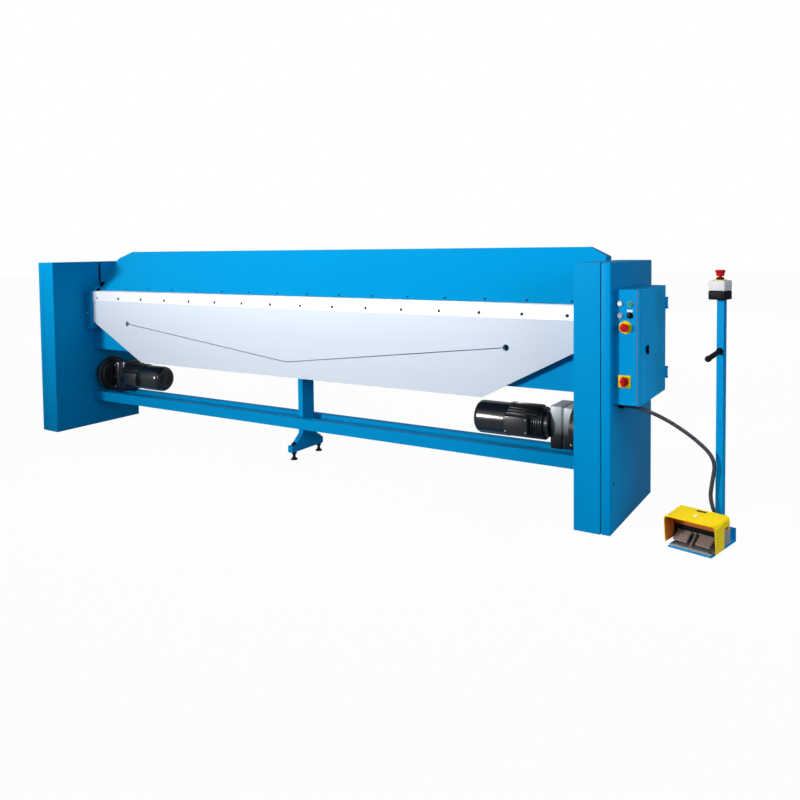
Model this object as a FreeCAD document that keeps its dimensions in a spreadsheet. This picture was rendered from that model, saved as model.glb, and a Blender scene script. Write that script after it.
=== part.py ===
import FreeCAD, Part
import math
import os
import Sketcher

# Motorised sheet metal folder: a floor-standing folding machine for 4 m sheets.
# +Z is up, the operator stands at -Y, the origin is on the floor in the middle of the anchors.
# Frame, beams and drives come in left and right copies from one set of sizes.

doc = FreeCAD.newDocument("sheet_metal_folder")
sheet = doc.addObject("Spreadsheet::Sheet", "dims")

SIZES = {
    # side frames
    "frame_inner": 2005, "frame_width": 127, "frame_above": 223, "frame_depth": 750,
    "frame_wall": 8, "frame_foot": 12, "cover_width": 50, "cover_wall": 5,
    "anchor_radius": 9, "anchor_spread": 600,
    # the fold axis, seen from the side
    "pivot_back": 335, "pivot_height": 1053, "shaft_radius": 20, "running_gap": 0.06,
    "shaft_inside": 65, "shaft_outside": 83,
    "bearing_radius": 45, "bearing_flange": 60, "bearing_flange_thick": 10,
    "bearing_inside": 3, "bearing_outside": 37, "bearing_gap": 0.2, "bore_over": 6,
    # bed beam and blade
    "bed_gap": 2, "bed_depth": 180, "bed_height": 456, "bed_head": 53, "bed_wall": 12,
    "blade_thick": 12,
    # crossbars and post
    "bar_front": 322, "bar_space": 117, "bar_thick": 50, "bar_bottom": 195, "bar_height": 70,
    "bar_wall": 4,
    "post_left": 20, "post_width": 37, "foot_reach": 60, "foot_tail": 41,
    "foot_bottom": 52, "foot_thick": 43, "flare_reach": 78, "flare_height": 62,
    "bolt_radius": 10, "bolt_front_inset": 38, "bolt_back_inset": 24,
    "bolt_above": 17,
    "pad_radius": 22, "pad_thick": 14, "nut_radius": 17, "nut_thick": 14,
    # folding beam
    "beam_gap": 80, "end_gap": 3, "plate_thick": 25, "plate_below_axis": 3,
    "plate_side_drop": 234, "plate_taper": 538, "plate_height": 517,
    "slit_inset": 393, "slit_drop": 236, "slit_rise": 99, "slit_hole": 18, "slit_width": 5,
    "rail_height": 75, "rail_thick": 12, "rail_proud": 2,
    "screw_margin": 50, "screw_count": 16, "rail_screw_up": 23.5, "head_radius": 8.5,
    "head_thick": 6, "head_sink": 0.5, "sink_radius": 10, "bolt_gap": 0.3,
    "edge_gap": 2, "edge_bar_thick": 27, "edge_bar_height": 111,
    "arm_gap": 7, "arm_front_reach": 73, "arm_back_reach": 12,
    "arm_length": 292, "arm_below_axis": 1, "boss_radius": 33,
    # clamping beam
    "nose_gap": 2, "nose_back": 3, "slope": 45.5, "clamp_blade_length": 50,
    "clamp_blade_thick": 12,
    "crown_depth": 290, "crown_thick": 35, "crown_height": 295, "heel_height": 145,
    "sole_length": 180, "clamp_gap": 18, "clamp_end_height": 60, "clip_height": 52,
    "clip_length": 105, "clamp_screw_along": 18, "clamp_screw_radius": 7,
    "clamp_screw_thick": 1.8,
    # slide blocks in the frames, and the lift under each one
    "slot_front": 412, "slot_back": 556, "slot_under": 35, "clamp_stroke": 100, "slot_over": 10,
    "block_front": 446, "block_back": 548, "block_height": 37,
    "slide_cover_thick": 14, "slide_cover_lap": 8, "slide_cover_height": 152,
    "block_reach": 91, "lift_reach": 57, "lift_back": 520, "rod_radius": 15, "rod_length": 275,
    "barrel_radius": 30, "barrel_length": 345, "barrel_under": 130, "lift_shelf": 16,
    # drives
    "motor_back": 430, "motor_height": 395, "drum_radius": 110, "drum_length": 140,
    "drum_neck": 78, "drum_neck_length": 88, "drum_flange": 134, "drum_flange_thick": 32,
    "gear_length": 133, "gear_front": 26, "gear_rear": 170, "gear_under": 127, "gear_over": 102,
    "motor_radius": 90, "motor_length": 235, "cowl_radius": 92, "cowl_length": 198,
    "cowl_round": 30, "term_start": 1, "term_length": 141, "term_reach": 115, "term_under": 52,
    "term_over": 42, "crest_start": 8, "crest_length": 177, "crest_over": 100,
    "rib_count": 10, "rib_angle": 6, "rib_depth": 6,
    "neck_radius": 72, "neck_length": 26, "ring_count": 7, "ring_pitch": 13,
    "ring_thick": 6, "ring_depth": 9, "gear_round": 14,
    "drive_shaft_inside": 55, "drive_shaft_outside": 85, "sprocket_reach": 61,
    "sprocket_thick": 12,
    "small_sprocket": 52, "large_sprocket": 104, "chain_thick": 14, "chain_gap": 0.6,
    "socket_depth": 65, "hub_radius": 32, "hub_thick": 14,
    # electrical cabinet
    "cab_front": 40, "cab_back": 530, "cab_bottom": 616, "cab_top": 1151, "cab_wall": 3,
    "cab_depth": 108, "door_gap": 3, "door_thick": 12, "door_pan": 3,
    "hinge_out": 4, "hinge_back": 6, "hinge_pin": 4, "hinge_knuckle": 7, "hinge_height": 40,
    "hinge_inset": 70, "hinge_ear": 9, "hinge_ear_gap": 1, "hinge_leaf": 3, "hinge_leaf_width": 28,
    "latch_stem": 5, "latch_stem_length": 12,
    "latch_front": 151, "latch_height": 866, "latch_radius": 14, "latch_thick": 8,
    "latch_blade": 44, "latch_blade_width": 12, "latch_blade_thick": 12,
    "rear_panel_thick": 3, "rear_panel_inset": 12, "rear_panel_step": 4,
    "rail_row_height": 980, "rail_row_length": 380, "rail_row_width": 35, "rail_row_thick": 8,
    "contactor_width": 45, "contactor_height": 80, "contactor_depth": 62, "contactor_pitch": 62,
    "contactor_count": 5, "terminal_row_height": 690, "terminal_length": 330,
    "terminal_height": 45, "terminal_depth": 40,
    # operating buttons on the front of the cabinet
    "white_across": 2213, "white_height": 1086, "green_across": 2260, "green_height": 1085,
    "grey_across": 2214, "grey_height": 1030, "selector_across": 2258, "selector_height": 1032,
    "bezel_radius": 14.5, "bezel_thick": 5, "bezel_bore": 11.2, "cap_radius": 10.8,
    "cap_proud": 9, "cap_tail": 14, "panel_bore": 11.4, "button_gap": 0.4,
    "knob_proud": 18, "knob_width": 8, "knob_radius": 9.5,
    "stop_across": 2238, "stop_height": 977, "stop_disc": 30, "stop_disc_thick": 3,
    "stop_collar": 14, "stop_collar_thick": 9, "stop_travel": 5, "mushroom_radius": 20,
    "mushroom_neck": 13, "mushroom_flare": 8, "mushroom_thick": 15, "mushroom_bevel": 2,
    "stop_stem": 8, "stop_bore": 8.4,
    "switch_across": 2234, "switch_height": 726, "switch_plate": 58, "switch_plate_thick": 4,
    "switch_hub": 20, "switch_hub_thick": 10, "switch_handle": 46, "switch_handle_width": 15,
    "switch_handle_thick": 24, "switch_stem": 6, "switch_bore": 6.4,
    # foot switch stand, in its own frame: p to the right, q to the back
    "stand_across": 2438, "stand_back": 12, "stand_turn": -13,
    "base_width": 196, "base_depth": 270, "base_thick": 6, "base_flange": 62,
    "mast_across": 134, "mast_back": 242, "mast_width": 32, "mast_wall": 3, "mast_top": 1106,
    "grip_height": 872, "grip_radius": 11.5, "grip_length": 144, "grip_collar": 15,
    "grip_collar_thick": 10, "grip_end": 14, "grip_end_length": 24, "grip_tilt": 10,
    "grip_sink": 4,
    "box_width": 74, "box_depth": 84, "box_low": 40, "box_high": 46, "box_round": 6,
    "box_back": 264,
    "tall_collar": 17.5, "tall_collar_thick": 14, "tall_mushroom": 22, "tall_neck": 16,
    "tall_flare": 22, "tall_thick": 28,
    "cast_left": 4, "cast_right": 192, "cast_front": 9, "cast_thick": 9,
    "rib_width": 7, "rib_height": 38, "rib_front": 22,
    "housing_back": 219, "housing_top": 96, "housing_round": 8,
    "housing_nose_front": 76, "housing_nose_gap": 3, "housing_nose_clear": 1,
    "hood_left": -10, "hood_right": 222, "hood_front": -24, "hood_back": 132, "hood_wall": 3.5,
    "hood_top_front": 148, "hood_top_back": 158, "hood_skirt": 26, "hood_cheek": 74,
    "hood_ear": 118, "hood_round": 16, "hood_lean": 14,
    "pedal_left": 8, "pedal_right": 111, "pedal_width": 62, "pedal_length": 70,
    "pedal_thick": 9, "pedal_pivot_back": 98, "pedal_pivot_height": 56, "pedal_tilt": -24,
    "pedal_barrel": 7, "pin_radius": 4,
    # cable from the frame to the foot switch, along and height of each corner
    "cable_radius": 9, "gland_radius": 13, "gland_length": 24, "gland_foot_length": 48,
    "cable_lead": 16, "cable_back": 134, "cable_height": 592, "cable_end_back": 180,
    "cable_end_along": 392,
    "corner_1_along": 54, "corner_2_along": 177, "corner_2_height": 545,
    "corner_3_along": 302, "corner_3_height": 466, "corner_4_along": 392, "corner_4_height": 378,
    "corner_5_along": 373, "corner_5_height": 262, "corner_6_along": 366, "corner_6_height": 186,
    "cable_end_height": 118, "bend_share": 0.45,
}
for row, (name, value) in enumerate(SIZES.items(), start=1):
    sheet.set("A%d" % row, name)
    sheet.set("B%d" % row, str(value))
    sheet.setAlias("B%d" % row, name)
doc.recompute()


class Size:
    """A size as a formula for the document, with its value beside it."""

    def __init__(self, text, value):
        self.text = text
        self.value = value

    def join(self, sign, other, value, swap=False):
        other_text = other.text if isinstance(other, Size) else repr(float(other))
        left, right = (other_text, self.text) if swap else (self.text, other_text)
        return Size("(%s %s %s)" % (left, sign, right), value)

    def __add__(self, other):
        return self.join("+", other, self.value + number(other))

    def __radd__(self, other):
        return self.join("+", other, number(other) + self.value, swap=True)

    def __sub__(self, other):
        return self.join("-", other, self.value - number(other))

    def __rsub__(self, other):
        return self.join("-", other, number(other) - self.value, swap=True)

    def __mul__(self, other):
        return self.join("*", other, self.value * number(other))

    def __rmul__(self, other):
        return self.join("*", other, number(other) * self.value, swap=True)

    def __truediv__(self, other):
        return self.join("/", other, self.value / number(other))

    def __neg__(self):
        return Size("(0 - %s)" % self.text, -self.value)


def number(size):
    return size.value if isinstance(size, Size) else float(size)


def formula(size):
    return size.text if isinstance(size, Size) else repr(float(size))


def sine(angle):
    return Size("sin(%s)" % formula(angle), math.sin(math.radians(number(angle))))


def cosine(angle):
    return Size("cos(%s)" % formula(angle), math.cos(math.radians(number(angle))))


def root(size):
    return Size("sqrt(%s)" % formula(size), math.sqrt(number(size)))


def arc_cosine(ratio):
    return Size("acos(%s)" % formula(ratio), math.degrees(math.acos(number(ratio))))


def arc_tangent(ratio):
    return Size("atan(%s)" % formula(ratio), math.degrees(math.atan(number(ratio))))


class Sizes:
    """Gives each driving size of the sheet by its name."""

    def __getattr__(self, name):
        return Size("dims." + name, float(SIZES[name]))


d = Sizes()

# Sizes that follow from others, so that pieces which keep together move together.
d.frame_height = d.pivot_height + d.frame_above
d.frame_outer = d.frame_inner + d.frame_width
d.cover_outer = d.frame_outer + d.cover_width
d.blade_top = d.pivot_height
d.bed_front = d.pivot_back + d.bed_gap
d.bed_bottom = d.blade_top - d.bed_height
d.bed_shoulder = d.blade_top - d.bed_head
d.bar_back = d.bar_front + d.bar_thick + d.bar_space
d.foot_front = d.bar_front - d.foot_reach
d.foot_back = d.bar_back + d.bar_thick + d.foot_tail
d.bolt_front = d.foot_front + d.bolt_front_inset
d.bolt_back = d.foot_back - d.bolt_back_inset
d.bolt_top = d.foot_bottom + d.foot_thick + d.bolt_above
d.beam_half = d.frame_inner - d.beam_gap
d.bed_half = d.beam_half - d.end_gap
d.edge_bar_back = d.pivot_back - d.edge_gap
d.edge_bar_top = d.pivot_height - d.edge_gap
d.edge_bar_bottom = d.edge_bar_top - d.edge_bar_height
d.plate_front = d.edge_bar_back - d.edge_bar_thick - d.plate_thick
d.plate_top = d.pivot_height - d.plate_below_axis
d.plate_side_low = d.plate_top - d.plate_side_drop
d.plate_flat = d.beam_half - d.plate_taper
d.plate_bottom = d.plate_top - d.plate_height
d.slit_reach = d.beam_half - d.slit_inset
d.slit_height = d.plate_top - d.slit_drop
d.slit_low = d.plate_bottom + d.slit_rise
d.rail_bottom = d.plate_top - d.rail_height
d.rail_screw_height = d.rail_bottom + d.rail_screw_up
d.screw_pitch = (d.beam_half - d.screw_margin) * 2 / (d.screw_count - 1)
d.arm_inner = d.beam_half + d.end_gap
d.arm_outer = d.frame_inner - d.arm_gap
d.arm_front = d.pivot_back - d.arm_front_reach
d.arm_back = d.pivot_back - d.arm_back_reach
d.arm_top = d.pivot_height - d.arm_below_axis
d.arm_bottom = d.arm_top - d.arm_length
d.shaft_start = d.frame_inner - d.shaft_inside
d.shaft_end = d.frame_inner + d.shaft_outside
d.bearing_start = d.frame_inner - d.bearing_inside
d.bearing_end = d.frame_inner + d.bearing_outside
d.clamp_half = d.frame_inner - d.clamp_gap
d.clamp_low_end = d.blade_top + d.nose_gap + d.clamp_end_height
d.block_top = d.clamp_low_end + d.block_height
d.block_end = d.frame_inner + d.block_reach
d.slot_bottom = d.clamp_low_end - d.slot_under
d.slot_top = d.block_top + d.clamp_stroke + d.slot_over
d.lift_across = d.frame_inner + d.lift_reach
d.rod_bottom = d.clamp_low_end - d.rod_length
d.barrel_top = d.clamp_low_end - d.barrel_under
d.barrel_bottom = d.barrel_top - d.barrel_length
d.drum_end = d.frame_inner - d.drum_length
d.gear_end = d.drum_end - d.gear_length
d.motor_end = d.gear_end - d.motor_length
d.sprocket_in = d.frame_inner + d.sprocket_reach
d.sprocket_out = d.sprocket_in + d.sprocket_thick
d.cab_body = d.cover_outer + d.cab_depth
d.door_in = d.cab_body + d.door_gap
d.door_out = d.door_in + d.door_thick
HALF = 0.5
QUARTER_TURN = 90
TURNS = {
    "+x": ((0, 1, 0), QUARTER_TURN), "-x": ((0, 1, 0), -QUARTER_TURN),
    "+y": ((1, 0, 0), -QUARTER_TURN), "-y": ((1, 0, 0), QUARTER_TURN),
    "+z": ((0, 0, 1), 0),
}
SIDES = {"left": -1, "right": 1}


def depth(size):
    """A size measured back from the front face of the frames, as a Y of the object."""
    return size - d.frame_depth * HALF


def bind(item, path, size):
    item.setExpression(path, formula(size))


def place(item, x=0, y=0, z=0, turn=None):
    if turn:
        item.Placement = FreeCAD.Placement(
            FreeCAD.Vector(), FreeCAD.Rotation(FreeCAD.Vector(*turn[0]), turn[1]))
    for axis, size in zip("xyz", (x, y, z)):
        bind(item, "Placement.Base." + axis, size)
    return item


def span(side, near, far):
    """Two X values of one side, in rising order."""
    return (near, far) if side > 0 else (-far, -near)


def box(name, x, y, z):
    item = doc.addObject("Part::Box", name)
    for path, pair in (("Length", x), ("Width", y), ("Height", z)):
        bind(item, path, pair[1] - pair[0])
    return place(item, x[0], y[0], z[0])


def rod(name, radius, length, x, y, z, direction):
    item = doc.addObject("Part::Cylinder", name)
    bind(item, "Radius", radius)
    bind(item, "Height", length)
    return place(item, x, y, z, TURNS[direction])


def fuse(name, items):
    item = doc.addObject("Part::MultiFuse", name)
    item.Shapes = items
    item.Refine = True
    return item


def group(name, items):
    item = doc.addObject("Part::Compound", name)
    item.Links = items
    return item


def cut(name, base, tools):
    item = doc.addObject("Part::Cut", name)
    item.Base = base
    item.Tool = tools[0] if len(tools) == 1 else fuse(name + "_tools", tools)
    item.Refine = True
    return item


def own_plane(body, role):
    return next(one for one in body.Origin.OriginFeatures if one.Role == role)


def outline(sketch, points):
    """Draws a closed outline and ties every corner to its formulas."""
    values = [FreeCAD.Vector(number(x), number(y), 0) for x, y in points]
    for index, start in enumerate(values):
        sketch.addGeometry(Part.LineSegment(start, values[(index + 1) % len(values)]), False)
    first = sketch.GeometryCount - len(values)
    for index, (x, y) in enumerate(points):
        before = first + (index - 1) % len(values)
        sketch.addConstraint(Sketcher.Constraint("Coincident", before, 2, first + index, 1))
        for kind, size in (("DistanceX", x), ("DistanceY", y)):
            tie = Sketcher.Constraint(kind, -1, 1, first + index, 1, number(size))
            bind(sketch, "Constraints[%d]" % sketch.addConstraint(tie), size)


def circle(sketch, x, y, radius):
    centre = FreeCAD.Vector(number(x), number(y), 0)
    ring = sketch.addGeometry(
        Part.Circle(centre, FreeCAD.Vector(0, 0, 1), number(radius)), False)
    for kind, size in (("DistanceX", x), ("DistanceY", y)):
        tie = Sketcher.Constraint(kind, -1, 1, ring, 3, number(size))
        bind(sketch, "Constraints[%d]" % sketch.addConstraint(tie), size)
    tie = Sketcher.Constraint("Radius", ring, number(radius))
    bind(sketch, "Constraints[%d]" % sketch.addConstraint(tie), radius)


def new_sketch(body, name, role):
    sketch = body.newObject("Sketcher::SketchObject", name)
    sketch.AttachmentSupport = (own_plane(body, role), [""])
    sketch.MapMode = "FlatFace"
    return sketch


def prism(name, role, points, start, end, holes=()):
    """A padded outline between two offsets along the axis that the plane faces."""
    body = doc.addObject("PartDesign::Body", name)
    sketch = new_sketch(body, name + "_sketch", role)
    outline(sketch, points)
    for hole in holes:
        circle(sketch, *hole)
    offset = -end if role == "XZ_Plane" else start
    bind(sketch, "AttachmentOffset.Base.z", offset)
    pad = body.newObject("PartDesign::Pad", name + "_pad")
    pad.Profile = sketch
    bind(pad, "Length", end - start)
    return body


def turned(name, points, x, y, z, direction):
    """A turned body: outline of radius and height, turned round its own axis."""
    body = doc.addObject("PartDesign::Body", name)
    sketch = new_sketch(body, name + "_sketch", "XZ_Plane")
    outline(sketch, points)
    spin = body.newObject("PartDesign::Revolution", name + "_turn")
    spin.Profile = sketch
    spin.ReferenceAxis = (sketch, ["V_Axis"])
    spin.Angle = 360
    return place(body, x, y, z, TURNS[direction])


def soften(body, size, test, kind="PartDesign::Fillet"):
    """Rounds or bevels the edges of the body's last feature that pass the test."""
    doc.recompute()
    tip = body.Tip
    names = ["Edge%d" % (index + 1) for index, edge in enumerate(tip.Shape.Edges) if test(edge)]
    feature = body.newObject(kind, body.Name + "_soft")
    feature.Base = (tip, names)
    bind(feature, "Radius" if kind.endswith("Fillet") else "Size", size)
    return body


NEARLY_ALONG = 0.999  # cosine of the widest angle that still counts as along an axis


def runs_along(axis):
    """Picks the straight edges that run along one axis."""
    def test(edge):
        if not isinstance(edge.Curve, Part.Line):
            return False
        return abs(getattr(edge.Curve.Direction, axis)) > NEARLY_ALONG
    return test


def screw_columns():
    """X of every screw along the beams, from the middle outwards."""
    first = (1 - number(d.screw_count)) * HALF
    return [d.screw_pitch * (first + index) for index in range(int(number(d.screw_count)))]


parts = []


def keep(item, label=None):
    item.Label = label or item.Name
    parts.append(item)
    return item


# Side frames.
frame_front = depth(0)
frame_rear = depth(d.frame_depth)
anchor_across = d.frame_inner + d.frame_width * HALF

for side_name, side in SIDES.items():
    shell = box(side_name + "_frame_block", span(side, d.frame_inner, d.frame_outer),
                (frame_front, frame_rear), (0, d.frame_height))
    hollow = box(side_name + "_frame_hollow",
                 span(side, d.frame_inner + d.frame_wall, d.frame_outer + d.frame_wall),
                 (frame_front + d.frame_wall, frame_rear - d.frame_wall),
                 (d.frame_foot, d.frame_height - d.frame_wall))
    slot = box(side_name + "_frame_slot",
               span(side, d.frame_inner - d.frame_wall, d.frame_inner + d.frame_wall * 2),
               (depth(d.slot_front), depth(d.slot_back)), (d.slot_bottom, d.slot_top))
    tools = [hollow, slot]
    sideways = "+x" if side > 0 else "-x"
    for bore_name, bore, back, height in (
            ("pivot", d.bearing_radius + d.bearing_gap, d.pivot_back, d.pivot_height),
            ("drive", d.shaft_radius * 2, d.motor_back, d.motor_height)):
        tools.append(rod("%s_%s_bore" % (side_name, bore_name), bore, d.frame_wall * 3,
                         (d.frame_inner - d.frame_wall) * side, depth(back), height, sideways))
    for end in (-1, 1):
        tools.append(rod("%s_anchor_hole_%d" % (side_name, end + 1), d.anchor_radius,
                         d.frame_foot * 3, anchor_across * side, d.anchor_spread * HALF * end,
                         -d.frame_foot, "+z"))
    keep(cut(side_name + "_frame", shell, tools))

    cover = box(side_name + "_cover_block", span(side, d.frame_outer, d.cover_outer),
                (frame_front, frame_rear), (0, d.frame_height))
    inside = box(side_name + "_cover_hollow",
                 span(side, d.frame_outer - d.cover_wall, d.cover_outer - d.cover_wall),
                 (frame_front + d.cover_wall, frame_rear - d.cover_wall),
                 (d.cover_wall, d.frame_height - d.cover_wall))
    keep(cut(side_name + "_outer_cover", cover, [inside]))

# Bed beam and blade.
bed_back = d.bed_front + d.bed_depth
blade_bottom = d.blade_top - d.blade_thick
bed_block = box("bed_block", (-d.frame_inner, d.frame_inner),
                (depth(d.bed_front), depth(bed_back)), (d.bed_bottom, d.bed_shoulder))
bed_head = box("bed_head", (-d.bed_half, d.bed_half),
               (depth(d.bed_front), depth(bed_back)), (d.bed_shoulder, blade_bottom))
bed_hollow = box("bed_hollow", (-d.bed_half, d.bed_half),
                 (depth(d.bed_front + d.bed_wall), depth(bed_back - d.bed_wall)),
                 (d.bed_bottom + d.bed_wall, d.bed_shoulder - d.bed_wall))
keep(cut("bed_beam", fuse("bed_solid", [bed_block, bed_head]), [bed_hollow]))
keep(box("bed_blade", (-d.bed_half, d.bed_half),
         (depth(d.bed_front), depth(bed_back)), (blade_bottom, d.blade_top)))

# Crossbars and post.
bars = []
for bar_name, front in (("front", d.bar_front), ("rear", d.bar_back)):
    bar = box(bar_name + "_bar_block", (-d.frame_inner, d.frame_inner),
              (depth(front), depth(front + d.bar_thick)),
              (d.bar_bottom, d.bar_bottom + d.bar_height))
    bore = box(bar_name + "_bar_hollow", (-d.frame_inner, d.frame_inner),
               (depth(front + d.bar_wall), depth(front + d.bar_thick - d.bar_wall)),
               (d.bar_bottom + d.bar_wall, d.bar_bottom + d.bar_height - d.bar_wall))
    bars.append(cut(bar_name + "_bar", bar, [bore]))
keep(group("crossbars", bars))

post_right = d.post_left + d.post_width
post_front = d.bar_front + d.bar_thick
foot_top = d.foot_bottom + d.foot_thick
flare_top = foot_top + d.flare_height
post_side = [
    (depth(d.foot_front), d.foot_bottom), (depth(d.foot_back), d.foot_bottom),
    (depth(d.foot_back), foot_top), (depth(d.bar_back + d.flare_reach), foot_top),
    (depth(d.bar_back), flare_top), (depth(d.bar_back), d.bed_bottom),
    (depth(post_front), d.bed_bottom), (depth(post_front), flare_top),
    (depth(post_front - d.flare_reach), foot_top), (depth(d.foot_front), foot_top),
]
post = prism("post_plate", "YZ_Plane", post_side, d.post_left, post_right)
post_middle = d.post_left + d.post_width * HALF
bolt_bores = [rod("bolt_bore_%d" % index, d.bolt_radius + d.bolt_gap, d.foot_thick * 4,
                  post_middle, depth(back), d.foot_bottom - d.foot_thick, "+z")
              for index, back in enumerate((d.bolt_front, d.bolt_back))]
keep(cut("centre_post", post, bolt_bores))

bolts = []
for index, back in enumerate((d.bolt_front, d.bolt_back)):
    nut_bottom = d.foot_bottom - d.nut_thick
    bolts.append(turned("levelling_bolt_%d" % index, [
        (0, 0), (d.pad_radius, 0), (d.pad_radius, d.pad_thick), (d.bolt_radius, d.pad_thick),
        (d.bolt_radius, nut_bottom), (d.nut_radius, nut_bottom), (d.nut_radius, d.foot_bottom),
        (d.bolt_radius, d.foot_bottom), (d.bolt_radius, d.bolt_top), (0, d.bolt_top),
    ], post_middle, depth(back), 0, "+z"))
keep(group("levelling_bolts", bolts))

# Folding beam.
plate_outline = [
    (-d.beam_half, d.plate_top), (-d.beam_half, d.plate_side_low),
    (-d.plate_flat, d.plate_bottom), (d.plate_flat, d.plate_bottom),
    (d.beam_half, d.plate_side_low), (d.beam_half, d.plate_top),
]
plate_back = d.plate_front + d.plate_thick
plate = prism("fold_plate_blank", "XZ_Plane", plate_outline, depth(d.plate_front),
              depth(plate_back))
slit_half = d.slit_width * HALF
slit = prism("fold_slit", "XZ_Plane", [
    (-d.slit_reach, d.slit_height + slit_half), (-d.slit_reach, d.slit_height - slit_half),
    (0, d.slit_low - slit_half), (d.slit_reach, d.slit_height - slit_half),
    (d.slit_reach, d.slit_height + slit_half), (0, d.slit_low + slit_half),
], depth(d.plate_front - d.plate_thick), depth(plate_back + d.plate_thick))
rail_front = d.plate_front - d.rail_proud
rail_back = rail_front + d.rail_thick
rebate = box("rail_rebate", (-d.beam_half * 2, d.beam_half * 2),
             (depth(rail_front), depth(rail_back)), (d.rail_bottom, d.plate_top * 2))
eyes = [rod("slit_eye_%d" % index, d.slit_hole, d.plate_thick * 3, d.slit_reach * end,
            depth(d.plate_front - d.plate_thick), d.slit_height, "+y")
        for index, end in enumerate((-1, 1))]
keep(cut("fold_plate", plate, [slit, rebate] + eyes))

rail = box("rail_strip", (-d.beam_half, d.beam_half), (depth(rail_front), depth(rail_back)),
           (d.rail_bottom, d.plate_top))
sink_depth = d.head_sink + d.head_thick
sinks = []
heads = []
for index, column in enumerate(screw_columns()):
    sinks.append(rod("rail_sink_%d" % index, d.sink_radius, sink_depth * 2, column,
                     depth(rail_front - sink_depth), d.rail_screw_height, "+y"))
    heads.append(rod("rail_head_%d" % index, d.head_radius, d.head_thick, column,
                     depth(rail_front + d.head_sink), d.rail_screw_height, "+y"))
keep(cut("fold_rail", rail, sinks))
keep(group("rail_screws", heads))

keep(box("fold_edge_bar", (-d.beam_half, d.beam_half), (depth(plate_back), depth(d.edge_bar_back)),
         (d.edge_bar_bottom, d.edge_bar_top)))

for side_name, side in SIDES.items():
    bar = box(side_name + "_arm_bar", span(side, d.arm_inner, d.arm_outer),
              (depth(d.arm_front), depth(d.arm_back)), (d.arm_bottom, d.arm_top))
    link = box(side_name + "_arm_link", span(side, d.beam_half, d.arm_outer),
               (depth(d.plate_front), depth(plate_back)),
               (d.plate_side_low + d.plate_thick, d.plate_top - d.plate_thick))
    boss_start, boss_end = span(side, d.arm_inner, d.arm_outer)
    boss = rod(side_name + "_arm_boss", d.boss_radius, boss_end - boss_start, boss_start,
               depth(d.pivot_back), d.pivot_height, "+x")
    bore = rod(side_name + "_arm_bore", d.shaft_radius, (boss_end - boss_start) * 3,
               boss_start - (boss_end - boss_start), depth(d.pivot_back), d.pivot_height, "+x")
    keep(cut(side_name + "_fold_arm", fuse(side_name + "_arm_solid", [bar, link, boss]), [bore]))

shafts = [rod(side_name + "_pivot_shaft", d.shaft_radius, d.shaft_end - d.shaft_start,
              d.shaft_start * side, depth(d.pivot_back), d.pivot_height,
              "+x" if side > 0 else "-x") for side_name, side in SIDES.items()]
keep(group("pivot_shafts", shafts))

# Clamping beam.
nose_back = d.pivot_back + d.nose_back + d.nose_gap
nose_height = d.blade_top + d.nose_gap
crown_front = nose_back + d.crown_depth
crown_back = crown_front + d.crown_thick
crown_top = nose_height + d.crown_height


def on_slope(along, inward=0):
    """A point of the sloping front face: along it from the nose, then into the beam."""
    back = nose_back + cosine(d.slope) * along + sine(d.slope) * inward
    height = nose_height + sine(d.slope) * along - cosine(d.slope) * inward
    return depth(back), height


blade_sole = nose_back + d.clamp_blade_thick / sine(d.slope)
clamp_section = [
    on_slope(d.clamp_blade_length), (depth(crown_front), crown_top),
    (depth(crown_back), crown_top), (depth(crown_back), nose_height + d.heel_height),
    (depth(nose_back + d.sole_length), nose_height), (depth(blade_sole), nose_height),
    on_slope(d.clamp_blade_length, d.clamp_blade_thick),
]
clamp_low = nose_height + d.clamp_end_height
beyond = d.clamp_half + d.cover_width


def top_clip(name, side):
    """The wedge that bevels one upper corner of the beam, as seen from the front."""
    return prism(name, "XZ_Plane", [
        (d.clamp_half * side, crown_top - d.clip_height),
        ((d.clamp_half - d.clip_length) * side, crown_top),
        ((d.clamp_half - d.clip_length) * side, crown_top + d.cover_width),
        (beyond * side, crown_top + d.cover_width), (beyond * side, crown_top - d.clip_height),
    ], frame_front, frame_rear)


clamp_middle = prism("clamp_middle", "YZ_Plane", clamp_section, -d.beam_half, d.beam_half)
clamp_solids = [cut("clamp_middle_clipped", clamp_middle, [
    top_clip(side_name + "_middle_clip", side) for side_name, side in SIDES.items()])]
for side_name, side in SIDES.items():
    end = prism(side_name + "_clamp_end", "YZ_Plane", clamp_section,
                *span(side, d.beam_half, d.clamp_half))
    under = box(side_name + "_clamp_under", span(side, d.beam_half, beyond),
                (frame_front, frame_rear), (d.bed_bottom, clamp_low))
    clamp_solids.append(cut(side_name + "_clamp_end_plate", end,
                            [under, top_clip(side_name + "_end_clip", side)]))
keep(group("clamp_beam", clamp_solids))

blade_section = [
    on_slope(0), on_slope(d.clamp_blade_length),
    on_slope(d.clamp_blade_length, d.clamp_blade_thick), (depth(blade_sole), nose_height),
]
keep(prism("clamp_blade", "YZ_Plane", blade_section, -d.beam_half, d.beam_half))

clamp_heads = []
for index, column in enumerate(screw_columns()):
    head = doc.addObject("Part::Cylinder", "clamp_head_%d" % index)
    bind(head, "Radius", d.clamp_screw_radius)
    bind(head, "Height", d.clamp_screw_thick)
    back, height = on_slope(d.clamp_screw_along)
    place(head, column, back, height, ((1, 0, 0), 0))
    bind(head, "Placement.Rotation.Angle", d.slope)
    clamp_heads.append(head)
keep(group("blade_screws", clamp_heads))

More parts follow.
